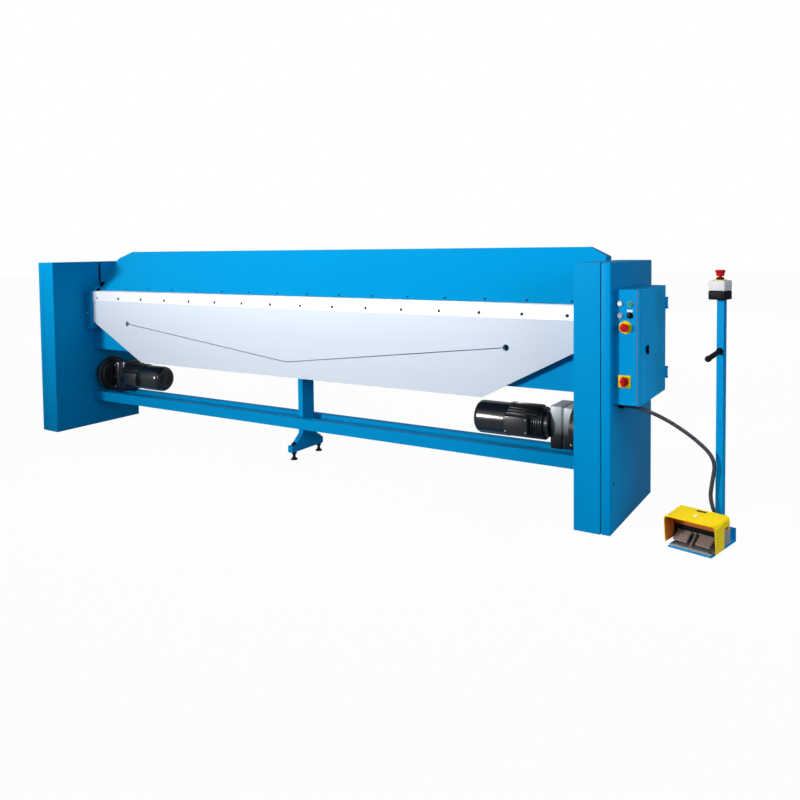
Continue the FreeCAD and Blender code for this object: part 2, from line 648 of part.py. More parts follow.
blocks = []
rods = []
barrels = []
for side_name, side in SIDES.items():
    cover_face = d.clamp_half + d.slide_cover_thick
    blocks.append(box(side_name + "_slide_cover", span(side, d.clamp_half, cover_face),
                      (depth(d.slot_front - d.slide_cover_lap),
                       depth(d.slot_back + d.slide_cover_lap)),
                      (d.clamp_low_end, d.clamp_low_end + d.slide_cover_height)))
    blocks.append(box(side_name + "_slide_block", span(side, cover_face, d.block_end),
                      (depth(d.block_front), depth(d.block_back)),
                      (d.clamp_low_end, d.block_top)))
    rods.append(rod(side_name + "_lift_rod", d.rod_radius, d.clamp_low_end - d.rod_bottom,
                    d.lift_across * side, depth(d.lift_back), d.rod_bottom, "+z"))
    tube = rod(side_name + "_barrel_tube", d.barrel_radius, d.barrel_top - d.barrel_bottom,
               d.lift_across * side, depth(d.lift_back), d.barrel_bottom, "+z")
    shelf = box(side_name + "_barrel_shelf",
                span(side, d.frame_inner + d.frame_wall, d.lift_across + d.barrel_radius),
                (depth(d.lift_back - d.barrel_radius), depth(d.lift_back + d.barrel_radius)),
                (d.barrel_bottom - d.lift_shelf, d.barrel_bottom))
    bore = rod(side_name + "_barrel_bore", d.rod_radius + d.running_gap,
               d.barrel_top - d.barrel_bottom, d.lift_across * side, depth(d.lift_back),
               d.barrel_bottom + d.lift_shelf, "+z")
    barrels.append(cut(side_name + "_barrel", fuse(side_name + "_barrel_solid", [tube, shelf]),
                       [bore]))
keep(group("slide_blocks", blocks))
keep(group("lift_rods", rods))
keep(group("lift_barrels", barrels))

# Fold drives.
motor_y = depth(d.motor_back)
fold_y = depth(d.pivot_back)
rise = d.pivot_height - d.motor_height
reach = d.pivot_back - d.motor_back
centre_distance = root(rise * rise + reach * reach)
lean = arc_tangent(reach / rise)
wrap = arc_cosine((d.large_sprocket - d.small_sprocket) / centre_distance)


def strand_points(extra):
    """Corners of the straight part of the chain, at one distance outside the sprockets."""
    points = []
    for hand in (-1, 1):
        ends = []
        for back, height, radius in ((motor_y, d.motor_height, d.small_sprocket + extra),
                                     (fold_y, d.pivot_height, d.large_sprocket + extra)):
            angle = lean + wrap * hand
            ends.append((back + sine(angle) * radius, height + cosine(angle) * radius))
        points += ends if hand < 0 else ends[::-1]
    return points


def chain_hull(name, side, extra, grow):
    low, high = span(side, d.sprocket_in - grow, d.sprocket_out + grow)
    strands = prism(name + "_strands", "YZ_Plane", strand_points(extra), low, high)
    discs = [rod("%s_round_%d" % (name, index), radius + extra, high - low, low, back, height, "+x")
             for index, (radius, back, height) in enumerate((
                 (d.small_sprocket, motor_y, d.motor_height),
                 (d.large_sprocket, fold_y, d.pivot_height)))]
    return fuse(name, [strands] + discs)


# The motor's outline from the gear case: neck, cooling rings, plain body under the cowl's rim.
motor_profile = [(0, 0), (d.neck_radius, 0), (d.neck_radius, d.neck_length)]
for index in range(int(number(d.ring_count))):
    ring_start = d.neck_length + d.ring_pitch * index
    ring_end = ring_start + d.ring_thick
    motor_profile += [
        (d.motor_radius, ring_start), (d.motor_radius, ring_end),
        (d.motor_radius - d.ring_depth, ring_end),
        (d.motor_radius - d.ring_depth, ring_start + d.ring_pitch),
    ]
rings_end = d.neck_length + d.ring_pitch * d.ring_count
motor_profile += [
    (d.motor_radius, rings_end), (d.motor_radius, d.motor_length), (0, d.motor_length),
]

# The gear drum's outline from the frame: neck, bolted flange, body.
flange_end = d.drum_neck_length + d.drum_flange_thick
drum_profile = [
    (0, 0), (d.drum_neck, 0), (d.drum_neck, d.drum_neck_length),
    (d.drum_flange, d.drum_neck_length), (d.drum_flange, flange_end),
    (d.drum_radius, flange_end), (d.drum_radius, d.drum_length), (0, d.drum_length),
]

# The crest is a row of cooling ribs over the upper half of the motor.
crest_section = [(motor_y, d.motor_height)]
for index in range(int(number(d.rib_count))):
    for step, radius in enumerate((d.crest_over - d.rib_depth, d.crest_over,
                                   d.crest_over, d.crest_over - d.rib_depth)):
        turn = d.rib_angle * (index * 2 + step // 2 + HALF - d.rib_count)
        crest_section.append((motor_y + sine(turn) * radius,
                              d.motor_height + cosine(turn) * radius))

gearcases, motors, cowls, terminals = [], [], [], []
bearings, chains, fold_sprockets = [], [], []
for side_name, side in SIDES.items():
    inward = "-x" if side > 0 else "+x"
    outward = "+x" if side > 0 else "-x"
    drum = turned(side_name + "_gear_drum", drum_profile, d.frame_inner * side, motor_y,
                  d.motor_height, inward)
    case_low, case_high = span(side, d.gear_end, d.drum_end)
    case_front, case_rear = motor_y - d.gear_front, motor_y + d.gear_rear
    case = prism(side_name + "_gear_case", "XY_Plane", [
        (case_low, case_front), (case_high, case_front),
        (case_high, case_rear), (case_low, case_rear),
    ], d.motor_height - d.gear_under, d.motor_height + d.gear_over)
    soften(case, d.gear_round, runs_along("z"))
    seat = rod(side_name + "_gear_socket", d.shaft_radius + d.running_gap,
               d.socket_depth + d.frame_wall, (d.frame_inner - d.socket_depth) * side, motor_y,
               d.motor_height, outward)
    gearcases.append(cut(side_name + "_gearcase", fuse(side_name + "_gear_solid", [drum, case]),
                         [seat]))
    barrel = turned(side_name + "_motor_barrel", motor_profile, d.gear_end * side, motor_y,
                    d.motor_height, inward)
    crest = prism(side_name + "_motor_crest", "YZ_Plane", crest_section,
                  *span(side, d.motor_end + d.crest_start,
                        d.motor_end + d.crest_start + d.crest_length))
    motors.append(fuse(side_name + "_motor", [barrel, crest]))
    cowl = turned(side_name + "_fan_cowl", [
        (0, 0), (d.cowl_radius, 0), (d.cowl_radius, d.cowl_length - d.cowl_round),
        (d.cowl_radius - d.cowl_round, d.cowl_length), (0, d.cowl_length),
    ], d.motor_end * side, motor_y, d.motor_height, inward)
    cowls.append(cowl)
    block = box(side_name + "_terminal_block", span(side, d.motor_end + d.term_start,
                                                      d.motor_end + d.term_start + d.term_length),
                (motor_y - d.term_reach, motor_y),
                (d.motor_height - d.term_under, d.motor_height + d.term_over))
    clear = rod(side_name + "_terminal_seat", d.motor_radius, d.gear_end - d.motor_end,
                d.motor_end * side, motor_y, d.motor_height, outward)
    terminals.append(cut(side_name + "_terminal_box", block, [clear]))

    bearing = rod(side_name + "_bearing_barrel", d.bearing_radius,
                  d.bearing_end - d.bearing_start, d.bearing_start * side, fold_y,
                  d.pivot_height, outward)
    flange = rod(side_name + "_bearing_flange", d.bearing_flange, d.bearing_flange_thick,
                 (d.frame_inner + d.frame_wall) * side, fold_y, d.pivot_height, outward)
    bore = rod(side_name + "_bearing_bore", d.shaft_radius + d.running_gap,
               d.bearing_end - d.bearing_start + d.bore_over * 2,
               (d.bearing_start - d.bore_over) * side,
               fold_y, d.pivot_height, outward)
    bearings.append(cut(side_name + "_bearing", fuse(side_name + "_bearing_solid",
                                                      [bearing, flange]), [bore]))

    disc_start, disc_end = span(side, d.sprocket_in, d.sprocket_out)
    disc = rod(side_name + "_fold_disc", d.large_sprocket, disc_end - disc_start, disc_start,
               fold_y, d.pivot_height, "+x")
    disc_bore = rod(side_name + "_fold_disc_bore", d.shaft_radius,
                    disc_end - disc_start + d.bore_over * 2, disc_start - d.bore_over, fold_y,
                    d.pivot_height, "+x")
    fold_sprockets.append(cut(side_name + "_fold_wheel", disc, [disc_bore]))

    wheel = rod(side_name + "_drive_disc", d.small_sprocket, disc_end - disc_start, disc_start,
                motor_y, d.motor_height, "+x")
    hub = rod(side_name + "_drive_hub", d.hub_radius, d.hub_thick,
              (d.sprocket_in - d.hub_thick) * side, motor_y, d.motor_height, outward)
    stub = rod(side_name + "_drive_stub", d.shaft_radius,
               d.drive_shaft_inside + d.drive_shaft_outside,
               (d.frame_inner - d.drive_shaft_inside) * side, motor_y, d.motor_height, outward)
    keep(fuse(side_name + "_drive_sprocket", [wheel, hub, stub]))

    loop = chain_hull(side_name + "_chain_outside", side, d.chain_gap + d.chain_thick,
                      0)
    core = chain_hull(side_name + "_chain_inside", side, d.chain_gap, d.chain_thick)
    chains.append(cut(side_name + "_chain", loop, [core]))

keep(group("gearcases", gearcases))
keep(group("motors", motors))
keep(group("fan_cowls", cowls))
keep(group("terminal_boxes", terminals))
keep(group("pivot_bearings", bearings))
keep(group("fold_sprockets", fold_sprockets))
keep(group("drive_chains", chains))

# Electrical cabinet.
cab_front = depth(d.cab_front)
cab_back = depth(d.cab_back)
cab_body = box("cabinet_body", (d.cover_outer, d.cab_body), (cab_front, cab_back),
               (d.cab_bottom, d.cab_top))
cab_hollow = box("cabinet_hollow", (d.cover_outer + d.cab_wall, d.cab_body + d.cab_wall),
                 (cab_front + d.cab_wall, cab_back - d.cab_wall),
                 (d.cab_bottom + d.cab_wall, d.cab_top - d.cab_wall))
panel_bores = [cab_hollow]
for bore_name, radius, across, height in (
        ("white", d.panel_bore, d.white_across, d.white_height),
        ("green", d.panel_bore, d.green_across, d.green_height),
        ("grey", d.panel_bore, d.grey_across, d.grey_height),
        ("selector", d.panel_bore, d.selector_across, d.selector_height),
        ("stop", d.stop_bore, d.stop_across, d.stop_height),
        ("switch", d.switch_bore, d.switch_across, d.switch_height)):
    panel_bores.append(rod(bore_name + "_panel_bore", radius, d.cab_wall * 3, across,
                           cab_front - d.cab_wall, height, "+y"))
hinge_x = d.door_out + d.hinge_out
hinge_y = cab_back + d.hinge_back
hinge_bottoms = (d.cab_bottom + d.hinge_inset, d.cab_top - d.hinge_inset - d.hinge_height)
hinge_fixed = []
hinge_moving = []
hinge_bores = []
for index, bottom in enumerate(hinge_bottoms):
    low = bottom - d.hinge_ear - d.hinge_ear_gap
    high = bottom + d.hinge_height + d.hinge_ear + d.hinge_ear_gap
    hinge_fixed.append(rod("hinge_pin_%d" % index, d.hinge_pin, high - low, hinge_x, hinge_y,
                           low, "+z"))
    hinge_fixed.append(box("hinge_leaf_%d" % index, (d.cab_body - d.hinge_leaf_width, d.cab_body),
                           (cab_back, cab_back + d.hinge_leaf), (low, high)))
    for end, (ear_low, ear_high) in enumerate(((low, low + d.hinge_ear),
                                               (high - d.hinge_ear, high))):
        hinge_fixed.append(box("hinge_ear_%d_%d" % (index, end),
                               (d.cab_body - d.hinge_leaf, hinge_x + d.hinge_knuckle),
                               (cab_back + d.hinge_ear_gap, hinge_y + d.hinge_knuckle),
                               (ear_low, ear_high)))
    hinge_moving.append(rod("hinge_knuckle_%d" % index, d.hinge_knuckle, d.hinge_height, hinge_x,
                            hinge_y, bottom, "+z"))
    hinge_moving.append(box("hinge_web_%d" % index, (d.door_out - d.door_pan, d.door_out),
                            (cab_back, hinge_y), (bottom, bottom + d.hinge_height)))
    hinge_bores.append(rod("hinge_bore_%d" % index, d.hinge_pin + d.running_gap,
                           d.hinge_height, hinge_x, hinge_y, bottom, "+z"))
keep(fuse("cabinet_box", [cut("cabinet_shell", cab_body, panel_bores)] + hinge_fixed))

door_block = box("door_block", (d.door_in, d.door_out), (cab_front, cab_back),
                 (d.cab_bottom, d.cab_top))
door_hollow = box("door_hollow", (d.door_in - d.door_pan, d.door_out - d.door_pan),
                  (cab_front + d.door_pan, cab_back - d.door_pan),
                  (d.cab_bottom + d.door_pan, d.cab_top - d.door_pan))
latch_bore = rod("latch_bore", d.latch_stem + d.running_gap, d.latch_stem_length * 2,
                 d.door_out - d.latch_stem_length, depth(d.latch_front), d.latch_height, "+x")
door_pan = cut("door_pan", door_block, [door_hollow])
keep(cut("cabinet_door", fuse("door_and_hinges", [door_pan] + hinge_moving),
         hinge_bores + [latch_bore]))

latch_hub = rod("latch_hub", d.latch_radius, d.latch_thick, d.door_out + d.button_gap,
                depth(d.latch_front), d.latch_height, "+x")
latch_wing = box("latch_wing",
                 (d.door_out + d.button_gap, d.door_out + d.button_gap + d.latch_blade_thick),
                 (depth(d.latch_front - d.latch_blade_width * HALF),
                  depth(d.latch_front + d.latch_blade_width * HALF)),
                 (d.latch_height - d.latch_blade * HALF, d.latch_height + d.latch_blade * HALF))
latch_stem = rod("latch_stem", d.latch_stem, d.latch_stem_length, d.door_out + d.button_gap,
                 depth(d.latch_front), d.latch_height, "-x")
keep(fuse("door_latch", [latch_hub, latch_wing, latch_stem]))

plate_in = d.cover_outer + d.cab_wall + d.rear_panel_step
plate_out = plate_in + d.rear_panel_thick
stand_offs = [rod("panel_post_%d" % index, d.rear_panel_inset * HALF, d.rear_panel_step,
                  d.cover_outer + d.cab_wall, y, z, "+x")
              for index, (y, z) in enumerate(
                  (y, z)
                  for y in (cab_front + d.rear_panel_inset * 3, cab_back - d.rear_panel_inset * 3)
                  for z in (d.cab_bottom + d.rear_panel_inset * 3,
                            d.cab_top - d.rear_panel_inset * 3))]
panel_sheet = box("panel_sheet", (plate_in, plate_out),
                  (cab_front + d.rear_panel_inset * 2, cab_back - d.rear_panel_inset * 2),
                  (d.cab_bottom + d.rear_panel_inset * 2, d.cab_top - d.rear_panel_inset * 2))
keep(fuse("mounting_panel", [panel_sheet] + stand_offs))

cab_middle = (cab_front + cab_back) * HALF
row_rail = box("row_rail", (plate_out, plate_out + d.rail_row_thick),
               (cab_middle - d.rail_row_length * HALF, cab_middle + d.rail_row_length * HALF),
               (d.rail_row_height - d.rail_row_width * HALF,
                d.rail_row_height + d.rail_row_width * HALF))
keep(row_rail, "device_rail")
contactors = []
first_contactor = cab_middle - d.contactor_pitch * (number(d.contactor_count) - 1) * HALF
for index in range(int(number(d.contactor_count))):
    middle = first_contactor + d.contactor_pitch * index
    contactors.append(box("contactor_%d" % index,
                          (plate_out + d.rail_row_thick,
                           plate_out + d.rail_row_thick + d.contactor_depth),
                          (middle - d.contactor_width * HALF, middle + d.contactor_width * HALF),
                          (d.rail_row_height - d.contactor_height * HALF,
                           d.rail_row_height + d.contactor_height * HALF)))
keep(group("contactors", contactors))
keep(box("terminal_strip", (plate_out, plate_out + d.terminal_depth),
         (cab_middle - d.terminal_length * HALF, cab_middle + d.terminal_length * HALF),
         (d.terminal_row_height, d.terminal_row_height + d.terminal_height)))

# Operating buttons.
button_places = {
    "white_button": (d.white_across, d.white_height),
    "green_button": (d.green_across, d.green_height),
    "grey_button": (d.grey_across, d.grey_height),
    "selector_knob": (d.selector_across, d.selector_height),
}
bezels = []
for button_name, (across, height) in button_places.items():
    bezels.append(turned(button_name + "_bezel", [
        (d.bezel_bore, 0), (d.bezel_radius, 0), (d.bezel_radius, d.bezel_thick),
        (d.bezel_bore, d.bezel_thick),
    ], across, cab_front, height, "-y"))
for button_name in ("white_button", "green_button", "grey_button"):
    across, height = button_places[button_name]
    keep(rod(button_name, d.cap_radius, d.cap_tail + d.cap_proud, across,
             cab_front + d.cap_tail, height, "-y"))
knob_core = rod("knob_core", d.cap_radius, d.cap_tail + d.bezel_thick, d.selector_across,
                cab_front + d.cap_tail, d.selector_height, "-y")
knob_grip = box("knob_grip",
                (d.selector_across - d.knob_width * HALF, d.selector_across + d.knob_width * HALF),
                (cab_front - d.knob_proud, cab_front),
                (d.selector_height - d.knob_radius, d.selector_height + d.knob_radius))
keep(fuse("selector_knob", [knob_core, knob_grip]))

keep(turned("stop_disc", [
    (d.stop_collar + d.button_gap, 0), (d.stop_disc, 0), (d.stop_disc, d.stop_disc_thick),
    (d.stop_collar + d.button_gap, d.stop_disc_thick),
], d.stop_across, cab_front, d.stop_height, "-y"))


def mushroom(collar_thick, neck, radius, flare, thick):
    """Outline of an emergency stop: the stem and the flared red head above its collar."""
    under = collar_thick + d.stop_travel + d.button_gap
    return [
        (0, -d.cap_tail), (d.stop_stem, -d.cap_tail), (d.stop_stem, under), (neck, under),
        (radius, under + flare), (radius, under + thick - d.mushroom_bevel),
        (radius - d.mushroom_bevel, under + thick), (0, under + thick),
    ]


def collar_ring(radius, thick):
    return [(d.stop_bore, 0), (radius, 0), (radius, thick), (d.stop_bore, thick)]


keep(turned("cabinet_stop",
            mushroom(d.stop_collar_thick, d.mushroom_neck, d.mushroom_radius, d.mushroom_flare,
                     d.mushroom_thick),
            d.stop_across, cab_front, d.stop_height, "-y"))
cabinet_collar = turned("cabinet_stop_collar", collar_ring(d.stop_collar, d.stop_collar_thick),
                        d.stop_across, cab_front, d.stop_height, "-y")

switch_square = box("switch_square",
                    (d.switch_across - d.switch_plate * HALF,
                     d.switch_across + d.switch_plate * HALF),
                    (cab_front - d.switch_plate_thick, cab_front),
                    (d.switch_height - d.switch_plate * HALF,
                     d.switch_height + d.switch_plate * HALF))
switch_hole = rod("switch_square_bore", d.switch_bore, d.switch_plate_thick * 3, d.switch_across,
                  cab_front - d.switch_plate_thick * 2, d.switch_height, "+y")
keep(cut("main_switch_plate", switch_square, [switch_hole]))
switch_face = cab_front - d.switch_plate_thick - d.button_gap
switch_parts = [
    rod("switch_stem", d.switch_stem, d.cap_tail + d.switch_plate_thick + d.button_gap,
        d.switch_across, switch_face, d.switch_height, "+y"),
    rod("switch_hub", d.switch_hub, d.switch_hub_thick, d.switch_across, switch_face,
        d.switch_height, "-y"),
    box("switch_wing",
        (d.switch_across - d.switch_handle_width * HALF,
         d.switch_across + d.switch_handle_width * HALF),
        (switch_face - d.switch_handle_thick, switch_face),
        (d.switch_height - d.switch_handle * HALF, d.switch_height + d.switch_handle * HALF)),
]
keep(fuse("main_switch", switch_parts))

# Foot switch stand.


def on_stand(item):
    """Sets a piece drawn in the stand's own frame down on the floor beside the machine."""
    item.Placement = FreeCAD.Placement(
        FreeCAD.Vector(), FreeCAD.Rotation(FreeCAD.Vector(0, 0, 1), number(d.stand_turn)))
    bind(item, "Placement.Base.x", d.stand_across)
    bind(item, "Placement.Base.y", depth(d.stand_back))
    return item


base_back = d.base_depth - d.base_thick
base = prism("base_blank", "YZ_Plane", [
    (0, 0), (d.base_depth, 0), (d.base_depth, d.base_flange), (base_back, d.base_flange),
    (base_back, d.base_thick), (0, d.base_thick),
], 0, d.base_width)
keep(on_stand(base), "stand_base")

mast_half = d.mast_width * HALF
mast_block = box("mast_block", (d.mast_across - mast_half, d.mast_across + mast_half),
                 (d.mast_back - mast_half, d.mast_back + mast_half), (d.base_thick, d.mast_top))
mast_inner = mast_half - d.mast_wall
mast_hollow = box("mast_hollow", (d.mast_across - mast_inner, d.mast_across + mast_inner),
                  (d.mast_back - mast_inner, d.mast_back + mast_inner), (d.base_thick, d.mast_top))
keep(on_stand(cut("stand_mast", mast_block, [mast_hollow])))

mast_front = d.mast_back - mast_half
grip_end_start = d.grip_length - d.grip_end_length
grip = turned("stand_grip_bar", [
    (0, 0), (d.grip_collar, 0), (d.grip_collar, d.grip_collar_thick),
    (d.grip_radius, d.grip_collar_thick), (d.grip_radius, grip_end_start),
    (d.grip_end, grip_end_start + d.grip_end - d.grip_radius), (d.grip_end, d.grip_length),
    (0, d.grip_length),
], d.mast_across, mast_front + d.grip_sink, d.grip_height, "-y")
bind(grip, "Placement.Rotation.Angle", QUARTER_TURN + d.grip_tilt)
grip_trim = box("grip_trim", (d.mast_across - mast_half, d.mast_across + mast_half),
                (mast_front, d.mast_back + mast_half),
                (d.grip_height - d.mast_width, d.grip_height + d.mast_width))
keep(on_stand(cut("stand_grip", grip, [grip_trim])))

box_x = (d.mast_across - d.box_width * HALF, d.mast_across + d.box_width * HALF)
box_y = (d.box_back - d.box_depth, d.box_back)
box_split = d.mast_top + d.box_low
box_top = box_split + d.box_high
stop_x = d.mast_across
stop_y = d.box_back - d.box_depth * HALF
lower = prism("stop_box_lower", "XY_Plane", [
    (box_x[0], box_y[0]), (box_x[1], box_y[0]), (box_x[1], box_y[1]), (box_x[0], box_y[1]),
], d.mast_top, box_split)
keep(on_stand(group("stop_box_base", [soften(lower, d.box_round, runs_along("z"))])))
upper = prism("stop_box_upper", "XY_Plane", [
    (box_x[0], box_y[0]), (box_x[1], box_y[0]), (box_x[1], box_y[1]), (box_x[0], box_y[1]),
], box_split, box_top, [(stop_x, stop_y, d.stop_bore)])
keep(on_stand(group("stop_box_cover", [soften(upper, d.box_round, runs_along("z"))])))
tall = turned("stand_stop_head", mushroom(d.tall_collar_thick, d.tall_neck, d.tall_mushroom,
                                          d.tall_flare, d.tall_thick),
              stop_x, stop_y, box_top, "+z")
keep(on_stand(group("stand_stop", [tall])))
stand_collar = turned("stand_collar_ring", collar_ring(d.tall_collar, d.tall_collar_thick),
                      stop_x, stop_y, box_top, "+z")
keep(group("button_collars", bezels + [cabinet_collar,
                                       on_stand(group("stand_collar", [stand_collar]))]))

cast = box("cast_plate", (d.cast_left, d.cast_right), (d.cast_front, d.hood_back),
           (d.base_thick, d.base_thick + d.cast_thick))
cast_middle = (d.pedal_left + d.pedal_right + d.pedal_width) * HALF
rib_half = d.rib_width * HALF
pin_z = d.pedal_pivot_height
rib = prism("cast_rib", "YZ_Plane", [
    (d.rib_front, d.base_thick), (d.hood_back, d.base_thick),
    (d.hood_back, pin_z + d.pedal_barrel),
    (d.pedal_pivot_back - d.pedal_barrel, pin_z + d.pedal_barrel), (d.rib_front, d.rib_height * HALF),
], cast_middle - rib_half, cast_middle + rib_half)
pins = rod("pedal_pin", d.pin_radius, d.cast_right - d.cast_left, d.cast_left,
           d.pedal_pivot_back, pin_z, "+x")
cheeks = [box("cast_cheek_%d" % index, (left, left + rib_half),
              (d.pedal_pivot_back - d.pedal_barrel, d.hood_back),
              (d.base_thick, pin_z + d.pedal_barrel))
          for index, left in enumerate((d.cast_left, d.cast_right - rib_half))]
keep(on_stand(fuse("pedal_base", [cast, rib, pins] + cheeks)))

house = prism("housing_block", "YZ_Plane", [
    (d.hood_back, d.base_thick), (d.housing_back, d.base_thick),
    (d.housing_back, d.housing_top), (d.hood_back, d.housing_top),
], d.cast_left, d.cast_right)
nose = box("housing_nose", (d.hood_left + d.hood_wall + d.housing_nose_clear, d.cast_right),
           (d.housing_nose_front, d.hood_back - d.hood_wall),
           (pin_z + d.pedal_barrel + d.housing_nose_gap, d.hood_ear - d.housing_nose_clear))
keep(on_stand(group("switch_housing", [soften(house, d.housing_round, runs_along("z")), nose])))

hood_outside = prism("hood_outside", "YZ_Plane", [
    (d.hood_front + d.hood_lean, d.hood_skirt), (d.hood_cheek, d.hood_skirt),
    (d.hood_cheek, d.hood_ear), (d.hood_back, d.hood_ear),
    (d.hood_back, d.hood_top_back), (d.hood_front, d.hood_top_front),
], d.hood_left, d.hood_right)


def roof_edge(edge):
    """The two long edges of the hood's roof."""
    if not isinstance(edge.Curve, Part.Line):
        return False
    return abs(edge.Curve.Direction.y) > 0.9 and edge.CenterOfMass.z > number(d.hood_ear) + 1


soften(hood_outside, d.hood_round, roof_edge)
roof_rise = (d.hood_top_back - d.hood_top_front) / (d.hood_back - d.hood_front) * d.hood_round
hood_hollow = prism("hood_hollow", "YZ_Plane", [
    (d.hood_front - d.hood_round, d.hood_skirt - d.hood_round),
    (d.hood_back + d.hood_round, d.hood_skirt - d.hood_round),
    (d.hood_back + d.hood_round, d.hood_top_back - d.hood_wall + roof_rise),
    (d.hood_front - d.hood_round, d.hood_top_front - d.hood_wall - roof_rise),
], d.hood_left + d.hood_wall, d.hood_right - d.hood_wall)
soften(hood_hollow, d.hood_round - d.hood_wall, roof_edge)
hood_back_plate = box("hood_back_plate", (d.hood_left + d.hood_wall, d.hood_right - d.hood_wall),
                      (d.hood_back - d.hood_wall, d.hood_back),
                      (d.housing_top, d.hood_top_back - d.hood_wall))
hood_shell = cut("hood_shell", hood_outside, [hood_hollow])
keep(on_stand(fuse("pedal_hood", [hood_shell, hood_back_plate])))

for side_name, left in (("left", d.pedal_left), ("right", d.pedal_right)):
    sole = box(side_name + "_pedal_sole", (left, left + d.pedal_width),
               (-d.pedal_length, 0),
               (d.pedal_barrel - d.pedal_thick, d.pedal_barrel))
    barrel = rod(side_name + "_pedal_barrel", d.pedal_barrel, d.pedal_width, left,
                 0, 0, "+x")
    bore = rod(side_name + "_pedal_bore", d.pin_radius + d.running_gap,
               d.pedal_width + d.bore_over * 2, left - d.bore_over, 0, 0, "+x")
    tread = cut(side_name + "_tread", fuse(side_name + "_tread_solid", [sole, barrel]), [bore])
    tread.Placement = FreeCAD.Placement(
        FreeCAD.Vector(), FreeCAD.Rotation(FreeCAD.Vector(1, 0, 0), -number(d.pedal_tilt)))
    bind(tread, "Placement.Base.y", d.pedal_pivot_back)
    bind(tread, "Placement.Base.z", d.pedal_pivot_height)
    keep(on_stand(group(side_name + "_pedal", [tread])))

# Cable to the foot switch.
gland_face = d.cover_outer + d.gland_length
cable_exit = FreeCAD.Vector(number(gland_face), number(depth(d.cable_back)),
                            number(d.cable_height))
lead_end = (number(gland_face + d.cable_lead), number(depth(d.cable_back)))
run_x = number(d.cable_end_along)
run_y = number(d.cable_end_back - d.cable_back)
run_flat = math.hypot(run_x, run_y)
corners = [
    (0, d.cable_height), (d.corner_1_along, d.cable_height),
    (d.corner_2_along, d.corner_2_height), (d.corner_3_along, d.corner_3_height),
    (d.corner_4_along, d.corner_4_height), (d.corner_5_along, d.corner_5_height),
    (d.corner_6_along, d.corner_6_height), (d.cable_end_along, d.cable_end_height),
]
route = [cable_exit]
for along, height in corners:
    share = number(along) / run_flat
    route.append(FreeCAD.Vector(lead_end[0] + run_x * share, lead_end[1] + run_y * share,
                                number(height)))


def cable_path(points, share):
    """Straight runs joined by tangent arcs; prints each radius."""
    edges = []
    last = points[0]
    for before, corner, after in zip(points, points[1:], points[2:]):
        inward = (before - corner).normalize()
        outward = (after - corner).normalize()
        half_turn = (math.pi - inward.getAngle(outward)) / 2
        reach = share * min((before - corner).Length, (after - corner).Length)
        radius = reach / math.tan(half_turn)
        print("cable bend radius %.1f" % radius)
        start = corner + inward * reach
        end = corner + outward * reach
        middle = corner + (inward + outward).normalize() * (
            radius / math.cos(half_turn) - radius)
        edges.append(Part.LineSegment(last, start).toShape())
        edges.append(Part.Arc(start, middle, end).toShape())
        last = end
    edges.append(Part.LineSegment(last, points[-1]).toShape())
    return Part.Wire(edges)


path = cable_path(route, number(d.bend_share))
first_way = (route[1] - route[0]).normalize()
section = Part.Wire(Part.makeCircle(number(d.cable_radius), route[0], first_way))
tube = path.makePipeShell([section], True, True)
cable = doc.addObject("Part::Feature", "conduit_cable")
cable.Shape = tube
cable.Placement = FreeCAD.Placement()
keep(cable)
ideal = math.pi * number(d.cable_radius) ** 2 * path.Length
print("cable length %.1f, volume over section times length %.4f" % (
    path.Length, abs(tube.Volume) / ideal))

last_way = (route[-1] - route[-2]).normalize()
upper_gland = rod("frame_gland", d.gland_radius, d.gland_length, d.cover_outer,
                  depth(d.cable_back), d.cable_height, "+x")
lower_gland = doc.addObject("Part::Cylinder", "foot_gland")
bind(lower_gland, "Radius", d.gland_radius)
bind(lower_gland, "Height", d.gland_foot_length)
lower_gland.Placement = FreeCAD.Placement(
    route[-1], FreeCAD.Rotation(FreeCAD.Vector(0, 0, 1), last_way))
keep(group("cable_glands", [upper_gland, lower_gland]))

# Checks and files.
doc.recompute()
faults = []
for item in doc.Objects:
    if "Invalid" in item.State or "Error" in item.State:
        faults.append("%s: %s" % (item.Name, item.State))
for item in parts:
    shape = item.Shape
    if shape.isNull() or not shape.isValid() or shape.Volume <= 0:
        faults.append("%s: shape is not sound" % item.Label)
if faults:
    raise RuntimeError("; ".join(faults))

os.makedirs("parts", exist_ok=True)
for item in parts:
    item.Shape.exportStep("parts/%s.step" % item.Label)
print("wrote %d parts" % len(parts))
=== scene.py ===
import math

import bmesh
import bpy
from mathutils import Matrix, Vector


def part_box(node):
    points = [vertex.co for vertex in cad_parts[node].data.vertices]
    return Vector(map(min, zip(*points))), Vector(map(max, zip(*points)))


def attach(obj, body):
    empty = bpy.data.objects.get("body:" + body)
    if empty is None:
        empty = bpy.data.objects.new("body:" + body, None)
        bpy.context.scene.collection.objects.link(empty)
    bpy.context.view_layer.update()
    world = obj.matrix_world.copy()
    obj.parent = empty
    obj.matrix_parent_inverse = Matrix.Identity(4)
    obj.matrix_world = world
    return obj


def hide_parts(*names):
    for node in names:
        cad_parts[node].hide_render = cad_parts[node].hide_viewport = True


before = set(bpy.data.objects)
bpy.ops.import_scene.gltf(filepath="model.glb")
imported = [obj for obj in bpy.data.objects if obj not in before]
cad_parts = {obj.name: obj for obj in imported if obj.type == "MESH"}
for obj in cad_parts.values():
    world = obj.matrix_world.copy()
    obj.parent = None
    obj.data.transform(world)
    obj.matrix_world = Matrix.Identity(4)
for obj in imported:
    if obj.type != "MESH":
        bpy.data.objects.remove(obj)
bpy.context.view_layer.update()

bl_info = {
    "name": "Sheet Metal Folder",
    "version": (1, 0, 0),
    "blender": (4, 5, 0),
    "location": "3D View > Sidebar > Folder",
    "description": "Finishes a motorised sheet metal folder around its packed CAD frame",
    "category": "Object",
}

